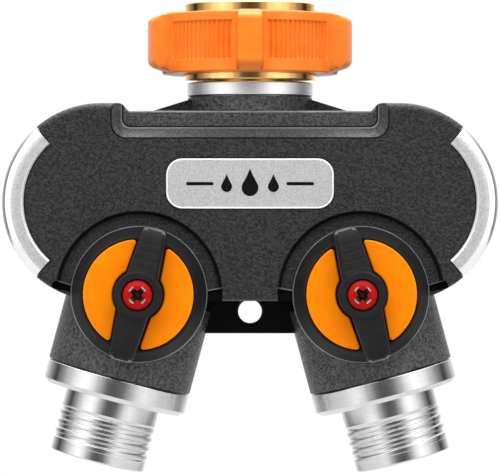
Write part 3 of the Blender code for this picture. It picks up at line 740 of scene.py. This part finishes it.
def make_badge(size, mats):
    """Plate with a painted highlight on its bevel round a satin face, and a blank droplet mark in place of
    any name.
    """
    half_x, half_z, z = size["badge"]
    back, front = size["badge_y"]
    levels = ((0.0, back), (0.0, front + 0.35), (0.05, front + 0.2), (0.22, front + 0.02), (0.34, front),
              (0.42, front + 0.05), (0.5, front + 0.12))
    shape = layered([(rounded_rectangle(half_x - inset, half_z - inset, BADGE_CORNER - inset, z), y)
                     for inset, y in levels])
    shape.faces.ensure_lookup_table()
    finishes = [mats["bright"], mats["satin"]]
    shape.faces[-1].material_index = finishes.index(mats["satin"])
    made = made_object("badge_plate_face", shape, finishes)
    finish_piece(made, "body", "silver_trim", "badge_plate", sharp=20.0)
    make_mark(z, front + 0.12, mats)


def droplet(x, z, radius):
    """Drop outline: a round belly drawn up to a point."""
    side, neck = 0.35 * radius, z + 1.45 * radius
    return arc(x, z, radius, 150.0, 390.0, 24) + [(x + side, neck), (x, z + 2.3 * radius), (x - side, neck)]


def make_mark(z, face, mats):
    """Three black enamel drops with a bar on either side."""
    shape = bmesh.new()
    outlines = [droplet(0.0, z - 1.1, 2.3), droplet(-6.4, z - 0.8, 1.5), droplet(6.4, z - 0.8, 1.5)]
    for sign in (-1, 1):
        near, far = sign * 10.0, sign * 17.5
        outlines.append(soft([(near, z - 0.45, 0.4), (far, z - 0.45, 0.4), (far, z + 0.45, 0.4),
                              (near, z + 0.45, 0.4)], 4))
    for outline in outlines:
        part = slab(outline, face - 0.06, face + 0.2)
        mesh = bpy.data.meshes.new("mark_part")
        bmesh.ops.recalc_face_normals(part, faces=part.faces)
        part.to_mesh(mesh)
        part.free()
        shape.from_mesh(mesh)
        bpy.data.meshes.remove(mesh)
    made = made_object("badge_mark", shape, [mats["mark"]])
    finish_piece(made, "body", "casing")


def cross_outline(half, waist):
    """Cross-head outline: four arms with a round waist between them."""
    points = []
    for quarter in range(4):
        turn = Matrix.Rotation(math.radians(90.0 * quarter), 2)
        for x, y in ((half, -waist), (half, waist), (1.35 * waist, 1.35 * waist)):
            points.append(tuple(turn @ Vector((x, y))))
    return points


def cross_cutter(half, waist, low, high):
    """Cross recess that narrows with depth."""
    outline = cross_outline(half, waist)
    return stacked([([(x * share, y * share) for x, y in outline], z)
                    for share, z in ((0.35, low), (1.0, high), (1.0, high + 3.0))])


def make_casing_screws(size, mats):
    """Five pan-head screws with cross recesses, in the rear shell's wells."""
    seat = HEAD_SEAT + GAP
    for number, (x, z) in enumerate(size["screws"], 1):
        place = Matrix.Translation(Vector((x, 0.0, z)) * MM) @ spun(-90.0, "X")
        profile = soft([(0.0, seat + 2.0), (1.6, seat + 1.95, 1.2), (HEAD_R, seat + 1.0, 0.9),
                        (HEAD_R, seat, 0.2), (SHANK_R, seat), (SHANK_R, -9.0), (0.7, -10.4),
                        (0.0, -10.4)], 5)
        made = made_object(f"casing_screw_{number}_turned", turned(profile, 40), [mats["zinc"]], place)
        combine(made, "DIFFERENCE", (cross_cutter(1.7, 0.42, seat + 0.5, seat + 2.1), place))
        finish_piece(made, "body", "screws", f"casing_screw_{number}")


# ---------------------------------------------------------------- manifold and inlet

def make_core(size, mats):
    """Casting with its satin collar, cross gallery, barrels and water ways."""
    top = size["collar_top"]
    collar_r, spigot_r, under = 17.5, 14.0, top - 3.8
    spigot = soft([(0.0, top), (collar_r, top, 0.6), (collar_r, under, 0.25), (spigot_r, under),
                   (spigot_r, GALLERY_Z), (0.0, GALLERY_Z)], 5)
    core = made_object("core_casting", turned(spigot, 128), [mats["collar"]])
    across = Matrix.Translation((0.0, 0.0, GALLERY_Z * MM)) @ spun(90.0, "Y")
    joins = [(rod(GALLERY_R, -24.0, 24.0, 48, 4.0), across)]
    inlet = [(0.0, top + 5.0), (TAIL_BORE_R, top + 5.0), (TAIL_BORE_R, TAIL_FLOOR), (PASSAGE_R, TAIL_FLOOR),
             (PASSAGE_R, GALLERY_Z + 0.6), (0.0, GALLERY_Z + 0.6)]
    ways = [(turned(inlet, 64), None), (rod(PASSAGE_R, -22.0, 22.0, 40, 6.0), across)]
    shoulder = SEAT_FAR + GAP
    for _, sign, centre in size["knobs"]:
        barrel, front = barrel_place(sign, centre), front_place(centre.x / MM, centre.z / MM)
        joins.append((rod(BARREL_R, -BARREL_TOP, BARREL_END, 64, 3.0), barrel))
        joins.append((rod(STEM_BOSS_R, 8.0, 19.9, 40, 7.0), front))
        bore = [(0.0, 30.0), (CHAMBER_R, 30.0), (CHAMBER_R, -shoulder), (PASSAGE_R, -shoulder),
                (PASSAGE_R, -31.0), (0.0, -31.0)]
        ways.append((turned(bore, 60, 360.0, 5.0), barrel))
        ways.append((rod(STEM_WAY_R, 3.0, 25.0, 32, 9.0), front))
    combine(core, "UNION", *joins)
    combine(core, "DIFFERENCE", *ways)
    finish_piece(core, "body", "casting", "manifold_core")


def make_tailpiece(mats):
    """Flanged brass tube under the washer."""
    low, high = mm_box("inlet_tailpiece")
    tube_r, bore_r = TAIL_BORE_R - 0.4, 7.0
    groove_r, groove_top, groove_foot = 8.6, -14.9, -17.1
    profile = soft([(bore_r, high.z, 0.3), (high.x, high.z, 0.3), (high.x, high.z - 2.0),
                    (tube_r, high.z - 2.0, 0.3), (tube_r, groove_top), (groove_r, groove_top),
                    (groove_r, groove_foot), (tube_r, groove_foot), (tube_r, low.z), (bore_r, low.z)], 4)
    made = made_object("tailpiece_tube", turned(profile, 96), [mats["brass"]])
    finish_piece(made, "body", "brass", "inlet_tailpiece")


def thread_warp(start, end, crest, depth, pitch):
    """Warp that cuts a helical groove with sloped flanks between two heights, fading out at both ends."""
    half, flank, fading = 0.32, 0.15, 0.35 * pitch

    def warp(radius, height, turn):
        """The point, sunk by the groove if it lies on the crest."""
        if not (start < height < end) or abs(radius - crest) > 0.01:
            return radius, height
        phase = ((height - start) / pitch - turn / math.tau) % 1.0
        groove = min(1.0, max(0.0, (half - abs(phase - 0.5)) / flank))
        groove = groove * groove * (3.0 - 2.0 * groove)
        fade = min(1.0, (height - start) / fading, (end - height) / fading)
        return radius + depth * groove * fade, height
    return warp


def thread_rows(radius, start, end, step=0.1):
    """Evenly spaced points along a thread, fine enough for its flanks."""
    count = int((end - start) / step)
    return [(radius, start + (end - start) * i / count) for i in range(count + 1)]


def rib_dip(turn):
    """Depth of the ribbing at a turn, with one lug at the front: nothing near the lugs, then fine ribs."""
    from_lug = (math.degrees(turn) + 90.0) % (360.0 / LUGS)
    inside = min(from_lug, 360.0 / LUGS - from_lug) - LUG_FOOT - 1.6
    if inside < 0.0:
        return 0.0
    rib = 0.5 + 0.5 * math.cos(math.tau * (from_lug - 0.5 * 360.0 / LUGS) / RIB_PITCH)
    return min(1.0, inside / 0.8) * (RIB_DEPTH + 0.12 - RIB_DEPTH * rib ** 1.4)


def lug_share(turn):
    """1 on a lug, 0 between lugs, with rounded flanks from one to the other."""
    from_lug = abs((math.degrees(turn) + 90.0 + 180.0 / LUGS) % (360.0 / LUGS) - 180.0 / LUGS)
    side = min(1.0, max(0.0, (LUG_FOOT - from_lug) / (LUG_FOOT - LUG_HALF)))
    return side * side * (3.0 - 2.0 * side)


def grip_rows():
    """Matching outer points, bottom to top, between lugs and on a lug. True marks the ribbed rows."""
    low, high = [point.z for point in mm_box("swivel_nut_grip")]
    bore = SLEEVE_R + GAP
    below, above = -2.1, 8.6
    lower = soft([(bore, low), (PANEL_R, low + 0.1, 0.5), (PANEL_R, below)], 4, False)
    upper = soft([(PANEL_R, above), (PANEL_R, high - 0.6, 0.5), (bore, high)], 4, False)
    panel = [(r, h, False) for r, h in lower]
    panel.append((PANEL_R, below + 0.25, True))
    panel += [(PANEL_R, below + 0.25 + (above - below - 0.5) * i / 10.0, True) for i in range(11)]
    panel.append((PANEL_R, above - 0.25, True))
    panel += [(r, h, False) for r, h in upper]
    foot = soft([(bore, low), (23.6, low + 0.3, 0.4), (27.4, low + 1.5, 1.0), (LUG_R, low + 2.6, 2.0),
                 (LUG_R, 2.0)], 4, False)
    head = soft([(LUG_R, 2.0), (LUG_R, high - 2.3, 1.8), (27.4, high - 1.3, 0.6), (23.6, high - 0.2, 0.4),
                 (bore, high)], 4, False)
    spare = len(panel) - len(foot) - len(head) + 2
    middle = [(LUG_R, -1.4 + 7.2 * i / (spare - 1)) for i in range(spare)]
    return list(zip(panel, foot[:-1] + middle + head[1:]))


def grip_warp(rows):
    """Warp from a row's number to its place: the lug or the panel, dipped where it is ribbed."""
    def warp(row, _, turn):
        """The row's point at a turn, between its place on the panel and on a lug."""
        (panel_r, panel_h, ribbed), (lug_r, lug_h) = rows[round(row - 1.0)]
        share = lug_share(turn)
        if ribbed:
            panel_r -= rib_dip(turn)
        return panel_r + (lug_r - panel_r) * share, panel_h + (lug_h - panel_h) * share
    return warp


def make_nut(size, mats):
    """Orange grip, brass sleeve with its female thread, and the hose washer."""
    rows = grip_rows()
    numbers = [(i + 1.0, 0.0) for i in range(len(rows))]
    grip = made_object("nut_grip_ribbed", turned(numbers, 900, warp=grip_warp(rows)), [mats["grip"]])
    finish_piece(grip, "swivel_nut", "grip_orange", "swivel_nut_grip", sharp=40.0)

    low, high = size["sleeve"]
    crest = NUT_THREAD_R
    thread = thread_rows(crest, *NUT_THREAD)
    outside = soft([(TAIL_BORE_R, low, 0.2), (SLEEVE_R, low, 0.4), (SLEEVE_R, high, 0.4), (14.7, high, 0.4),
                    (crest + 0.9, high - 1.2)], 6, False)
    inside = [(crest, high - 1.6)] + thread[::-1]
    inside += [(crest, 1.4), (12.9, 1.2), (12.9, -5.6), (TAIL_BORE_R, -5.6)]
    warp = thread_warp(*NUT_THREAD, crest, NUT_THREAD_DEPTH, NUT_PITCH)
    sleeve = made_object("nut_sleeve_threaded", turned(outside + inside, 144, warp=warp), [mats["brass"]])
    finish_piece(sleeve, "swivel_nut", "brass", "swivel_nut_sleeve", sharp=65.0)

    low, high = mm_box("hose_washer")
    ring = soft([(8.0, high.z, 0.5), (high.x, high.z, 0.5), (high.x, low.z, 0.5), (8.0, low.z, 0.5)], 5)
    washer = made_object("hose_washer_ring", turned(ring, 96), [mats["rubber"]])
    finish_piece(washer, "swivel_nut", "rubber", "hose_washer")


# ---------------------------------------------------------------- valves

def nipple_profile():
    """Closed profile of an outlet nipple: spigot, collar, neck, thread, lead and bore."""
    spigot_r, inner = CHAMBER_R - 0.35, SEAT_FAR + GAP
    collar_low, collar_high, collar_r = BARREL_END + GAP, 30.4, 20.4
    start, end = OUTLET_THREAD
    neck_r = OUTLET_THREAD_R - 0.1
    groove_r, groove_near, groove_far = 11.15, 20.0, 22.2
    outside = soft([(spigot_r, inner), (spigot_r, groove_near), (groove_r, groove_near),
                    (groove_r, groove_far), (spigot_r, groove_far), (spigot_r, collar_low),
                    (collar_r, collar_low, 0.3), (collar_r, collar_high - 1.2, 0.5),
                    (collar_r - 1.2, collar_high, 0.5), (neck_r, collar_high, 0.3),
                    (neck_r, start - 0.2)], 5, False)
    close = soft([(OUTLET_THREAD_R, end + 0.1), (neck_r, end + 0.2), (neck_r, OUTLET_END, 0.5),
                  (9.5, OUTLET_END, 0.4), (9.5, 24.0), (PASSAGE_R, 21.0), (PASSAGE_R, inner)], 5, False)
    return outside + thread_rows(OUTLET_THREAD_R, start, end) + close


def make_outlet(side, place, mats):
    """Nipple with its male thread, and the two ball seats."""
    warp = thread_warp(*OUTLET_THREAD, OUTLET_THREAD_R, -OUTLET_THREAD_DEPTH, OUTLET_PITCH)
    shape = turned(nipple_profile(), 144, warp=warp)
    nipple = made_object(f"{side}_nipple_threaded", shape, [mats["nipple"]], place)
    finish_piece(nipple, "body", "outlet_metal", f"{side}_outlet_nipple", sharp=65.0)
    reach = BALL_R + GAP
    for name, sign in (("upstream", -1), ("downstream", 1)):
        cup = [(math.sqrt(reach ** 2 - along ** 2), sign * along)
               for along in (SEAT_NEAR + (SEAT_FAR - SEAT_NEAR) * i / 8.0 for i in range(9))]
        profile = [(CHAMBER_R - GAP, sign * SEAT_FAR), (CHAMBER_R - GAP, sign * SEAT_NEAR)] + cup
        seat = made_object(f"{side}_{name}_seat_ring", turned(profile, 96), [mats["seat"]], place)
        finish_piece(seat, "body", "seats", f"{side}_{name}_seat")


def make_ball(side, place, mats):
    """Chromed ball with its bore along local Y and a slot for the stem's tang."""
    edge = math.degrees(math.acos(BALL_BORE_R / BALL_R))
    shape = turned(arc(0.0, 0.0, BALL_R, edge, -edge, 40), 96)
    shape.transform(spun(90.0, "X"))
    ball = made_object(f"{side}_ball_chromed", shape, [mats["chrome"]], place)
    combine(ball, "DIFFERENCE", (block(rectangle(2.0, 15.0), 8.4, 15.0), place))
    finish_piece(ball, f"{side}_valve", "balls", f"{side}_ball")


def lever_shape():
    """Tapered lever with soft chamfers, round-cornered sloping ends and shallow finger grooves."""
    foot, chamfer = 22.4, 0.9
    outline = [(18.6, 2.0, 31.2), (18.45, 2.55, 32.0), (18.1, 2.9, 32.8), (17.6, 3.1, 33.5),
               (16.8, 3.25, 34.1), (15.8, 3.35, 34.45), (4.5, 4.25, 36.8)]
    grooves, groove_half, groove_depth = (7.4, 9.7, 12.0, 14.3), 0.3, 0.12

    def station(y):
        """Half-width and top at a distance from the middle."""
        for (y1, w1, t1), (y0, w0, t0) in zip(outline, outline[1:]):
            if y0 <= y <= y1:
                share = (y - y0) / (y1 - y0)
                dip = sum(groove_depth * max(0.0, 1.0 - abs(y - at) / groove_half) for at in grooves)
                return w0 + (w1 - w0) * share, t0 + (t1 - t0) * share - dip
        return outline[-1][1:]

    across = {at + groove_half * share for at in grooves for share in (-1.0, -0.5, 0.0, 0.5, 1.0)}
    places = sorted({row[0] for row in outline} | across | {0.0})
    levels = []
    for y in [-y for y in reversed(places[1:])] + places:
        width, top = station(abs(y))
        section = soft([(-width - 0.3, foot), (-width, top - chamfer, 0.35), (-width + chamfer, top, 0.35),
                        (width - chamfer, top, 0.35), (width, top - chamfer, 0.35), (width + 0.3, foot)], 3)
        levels.append((section, y))
    return layered(levels)


def inlay_outline(grow):
    """Orange segment beside the lever: outer arc, two lever sides and the hub's curve, with soft corners."""
    outer, hub = 15.05 + grow, 7.1 - grow
    tip_x, root_x = 4.1 - grow, 4.8 - grow
    tip_turn = math.degrees(math.acos(tip_x / outer))
    hub_turn = math.degrees(math.acos(root_x / hub))
    rim = arc(0.0, 0.0, outer, -tip_turn, tip_turn, 48)
    hollow = arc(0.0, 0.0, hub, hub_turn, -hub_turn, 20)
    corner = 1.1 + grow
    points = [rim[0] + (corner,)] + rim[3:-3] + [rim[-1] + (corner,), hollow[0] + (0.4,)] + hollow[1:-1]
    points.append(hollow[-1] + (0.4,))
    return soft(points, 6)


def paint_edge_highlights(knob, mats):
    """Painted highlights: a lighter grey on the lever's outer fillets and on the skirt's rim, for light
    caught on those edges.
    """
    # material 1 is the lever's painted edge highlight, material 2 the rim's painted highlight
    edge, rim = 1, 2
    knob.data.materials.append(mats["edge"])
    knob.data.materials.append(mats["rim"])
    for face in knob.data.polygons:
        height = face.center.z / MM
        radius = face.center.xy.length / MM
        on_lever = height > 29.5 and radius > 7.2
        on_rim = 21.3 < height < 22.3 and radius > 18.3
        if on_lever and 0.06 < face.normal.z < 0.56:
            face.material_index = edge
        elif on_rim:
            face.material_index = rim


def make_knob(side, place, mats):
    """Black skirt, hub and lever in one piece, cut for the inlays, the screw and the stem."""
    profile = soft([(0.0, 28.6), (15.8, 28.6, 0.5), (18.5, 22.3), (18.75, 21.7, 0.25), (18.7, 21.0, 0.2),
                    (16.8, 21.0), (16.2, 21.8), (8.0, 21.8), (8.0, 21.0), (0.0, 21.0)], 5)
    knob = made_object(f"{side}_knob_moulded", turned(profile, 144), [mats["knob"]], place)
    hub = turned(soft([(0.0, 36.9), (6.5, 36.9, 0.7), (6.5, 27.0), (0.0, 27.0)], 6), 96, 360.0, 1.3)
    combine(knob, "UNION", (lever_shape(), place), (hub, place))
    well = [(0.0, 40.0), (4.7, 40.0), (4.4, 36.7), (4.4, 35.2), (1.7, 35.2), (1.7, 33.0), (0.0, 33.0)]
    tools = [(block(rectangle(2.9, 2.9), 18.0, 33.9), place), (turned(well, 64), place)]
    for number, turn in ((1, 0.0), (2, 180.0)):
        seat = place @ spun(turn, "Z")
        tools.append((block(inlay_outline(GAP), 27.4, 33.0), seat))
        levels = ((0.0, 27.7), (0.0, 28.55), (0.08, 28.75), (0.25, 28.87), (0.5, 28.92))
        shape = stacked([(inlay_outline(-inset), z) for inset, z in levels])
        inlay = made_object(f"{side}_knob_inlay_{number}_orange", shape, [mats["inlay"]], seat)
        finish_piece(inlay, f"{side}_valve", "knob_orange", f"{side}_knob_inlay_{number}", sharp=45.0)
    combine(knob, "DIFFERENCE", *tools)
    paint_edge_highlights(knob, mats)
    finish_piece(knob, f"{side}_valve", "knob_black", f"{side}_knob")


def tip_cutter(quarter):
    """Short notch across one tip of the knob screw's cross, faced in white as a painted glint."""
    outline = arc(0.0, 0.0, 2.55, -19.0, 19.0, 6) + arc(0.0, 0.0, 2.15, 19.0, -19.0, 6)
    low = arc(0.0, 0.0, 2.2, -19.0, 19.0, 6) + arc(0.0, 0.0, 2.12, 19.0, -19.0, 6)
    shape = stacked(((low, 36.5), (outline, 37.15), (outline, 38.5)))
    shape.transform(spun(90.0 * quarter, "Z"))
    return painted(shape, SCREW_TIP_GLINT)


def make_knob_screw(side, sign, place, mats):
    """Red enamelled screw. Its steel cross, darkened as painted shade, lies diagonally at rest, with painted
    white glints at its tips.
    """
    profile = soft([(0.0, 37.4), (2.6, 37.25, 2.0), (4.1, 36.4, 0.5), (4.1, 35.5), (1.2, 35.5), (1.2, 25.4),
                    (0.0, 25.4)], 6)
    finishes = [mats["red"], mats["steel"], mats["seat"]]
    screw = made_object(f"{side}_knob_screw_red", turned(profile, 96), finishes, place)
    slanted = place @ spun(45.0 - sign * LEAN, "Z")
    tips = [(tip_cutter(quarter), slanted) for quarter in range(4)]
    combine(screw, "DIFFERENCE", (painted(cross_cutter(2.1, 0.6, 35.8, 37.2), SCREW_CROSS), slanted), *tips)
    finish_piece(screw, f"{side}_valve", "red_screw", f"{side}_knob_screw")


def dress_hidden_nodes(frame, mats):
    """Procedural materials on the CAD nodes that stay as they are."""
    for name, node in frame["nodes"].items():
        if "o_ring" in name:
            chosen = mats["rubber"]
        elif name.endswith("valve_stem"):
            chosen = mats["brass"]
        else:
            continue
        node.data.materials.clear()
        node.data.materials.append(chosen)


# ---------------------------------------------------------------- stage

def emitter(name, strength):
    """Even white glow."""
    mat = bpy.data.materials.new(name)
    mat.use_nodes = True
    tree = mat.node_tree
    tree.nodes.clear()
    glow = add(tree, "ShaderNodeEmission", {"Strength": strength})
    out = add(tree, "ShaderNodeOutputMaterial")
    tree.links.new(glow.outputs["Emission"], out.inputs["Surface"])
    return mat


def card(name, azimuth, elevation, distance, width, height, strength):
    """Glowing rectangle that faces the object. Azimuth 0 is in front, and 90 is to the right."""
    turn, lift = math.radians(azimuth), math.radians(elevation)
    centre = Vector((0.0, 0.0, STAGE_Z * MM))
    away = Vector((math.sin(turn) * math.cos(lift), -math.cos(turn) * math.cos(lift), math.sin(lift)))
    mesh = bpy.data.meshes.new(name)
    x, y = 0.5 * width, 0.5 * height
    mesh.from_pydata([(-x, -y, 0), (x, -y, 0), (x, y, 0), (-x, y, 0)], [], [(0, 1, 2, 3)])
    mesh.materials.append(emitter(name, strength))
    made = bpy.data.objects.new(name, mesh)
    made.location = centre + away * distance
    made.rotation_euler = away.to_track_quat("Z", "Y").to_euler()
    made.visible_camera = False
    bpy.context.scene.collection.objects.link(made)


def calculated(tree, operation, *values):
    """Result of a maths node."""
    return add(tree, "ShaderNodeMath", dict(enumerate(values)), operation=operation).outputs["Value"]


def side_glow(tree, sight):
    """Level by direction: dim ahead, a wide soft box at each side, a dark flag, then white behind."""
    ahead = calculated(tree, "MULTIPLY", sight["Y"], -1.0)
    azimuth = calculated(tree, "ARCTAN2", calculated(tree, "ABSOLUTE", sight["X"]), ahead)
    ramp = add(tree, "ShaderNodeValToRGB", {"Fac": calculated(tree, "DIVIDE", azimuth, math.pi)})
    ramp.color_ramp.interpolation = "EASE"
    levels = {0: 0.06, 12: 0.09, 24: 0.38, 36: 0.82, 48: 1.0, 64: 0.82, 80: 0.48, 96: 0.2, 112: 0.02,
              128: 0.22, 144: 0.5, 162: 0.75, 180: 0.85}
    elements = ramp.color_ramp.elements
    while len(elements) < len(levels):
        elements.new(0.5)
    for element, (degrees, level) in zip(elements, levels.items()):
        element.position = degrees / 180.0
        element.color = (level, level, level, 1.0)
    return calculated(tree, "MULTIPLY", ramp.outputs["Color"], SIDE_LEVEL)


def make_world():
    """Soft studio all round, brighter overhead, and plain white behind the object for the camera."""
    world = bpy.data.worlds.new("white_studio")
    bpy.context.scene.world = world
    world.use_nodes = True
    tree = world.node_tree
    back = tree.nodes["Background"]
    back.inputs["Color"].default_value = (1.0, 1.0, 1.0, 1.0)
    facing = add(tree, "ShaderNodeTexCoord").outputs["Generated"]
    sight = add(tree, "ShaderNodeSeparateXYZ", {"Vector": facing}).outputs
    below = add(tree, "ShaderNodeMapRange", {"Value": sight["Z"], "From Min": -0.5, "From Max": 0.0,
                                             "To Min": 0.6, "To Max": 1.0}).outputs["Result"]
    above = add(tree, "ShaderNodeMapRange", {"Value": sight["Z"], "From Min": 0.45, "From Max": 0.9,
                                             "To Min": 0.0, "To Max": OVERHEAD_LEVEL},
                interpolation_type="SMOOTHSTEP").outputs["Result"]
    around = calculated(tree, "MULTIPLY", side_glow(tree, sight), below)
    studio = calculated(tree, "ADD", around, above)
    seen = add(tree, "ShaderNodeLightPath").outputs["Is Camera Ray"]
    level = add(tree, "ShaderNodeMix", {"Factor": seen, "A": studio, "B": 1.0}).outputs["Result"]
    tree.links.new(level, back.inputs["Strength"])


def make_floor():
    """Round pale floor below the object, which hangs from its inlet."""
    mat, tree, shader, coords = surface("floor_pale", 0.6)
    tone(tree, shader, noise(tree, coords, 300.0), (0.46, 0.46, 0.46), (0.50, 0.50, 0.50))
    rim = [(FLOOR_R * MM * math.cos(turn), FLOOR_R * MM * math.sin(turn), 0.0)
           for turn in (math.tau * i / 96 for i in range(96))]
    mesh = bpy.data.meshes.new("floor")
    mesh.from_pydata(rim, [], [range(96)])
    mesh.materials.append(mat)
    floor = bpy.data.objects.new("floor", mesh)
    floor.location = (0.0, 0.0, FLOOR_Z * MM)
    bpy.context.scene.collection.objects.link(floor)


def make_stage():
    """Surroundings, floor, a front key box and a rim box that draws the thin glints along upper edges."""
    make_world()
    make_floor()
    card("key_soft_box", azimuth=0.0, elevation=45.0, distance=1.6, width=1.8, height=0.9, strength=3.4)
    card("rim_soft_box", azimuth=180.0, elevation=70.0, distance=1.3, width=1.2, height=0.4, strength=10.0)


def make_camera():
    """Level camera in front, one metre from the knobs' side of the middle plane."""
    data = bpy.data.cameras.new("camera")
    data.sensor_width = 36.0
    field, distance = 0.140, 1.0
    data.lens = data.sensor_width * distance / field
    camera = bpy.data.objects.new("camera", data)
    camera.location = (0.0, -distance, STAGE_Z * MM)
    camera.rotation_euler = (math.radians(90.0), 0.0, 0.0)
    bpy.context.scene.collection.objects.link(camera)
    bpy.context.scene.camera = camera


def main():
    """Every piece round the frame, then the stage with its two soft boxes."""
    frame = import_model()
    bpy.context.scene.view_settings.view_transform = "Standard"
    make_camera()
    mats = make_materials()
    size = read_frame(frame)
    make_shells(size, mats)
    make_trims(size, mats)
    make_badge(size, mats)
    make_casing_screws(size, mats)
    make_core(size, mats)
    make_tailpiece(mats)
    make_nut(size, mats)
    for side, sign, centre in size["knobs"]:
        make_outlet(side, barrel_place(sign, centre), mats)
        turning = knob_place(sign, centre)
        make_ball(side, turning, mats)
        make_knob(side, turning, mats)
        make_knob_screw(side, sign, turning, mats)
    dress_hidden_nodes(frame, mats)
    make_stage()


main()
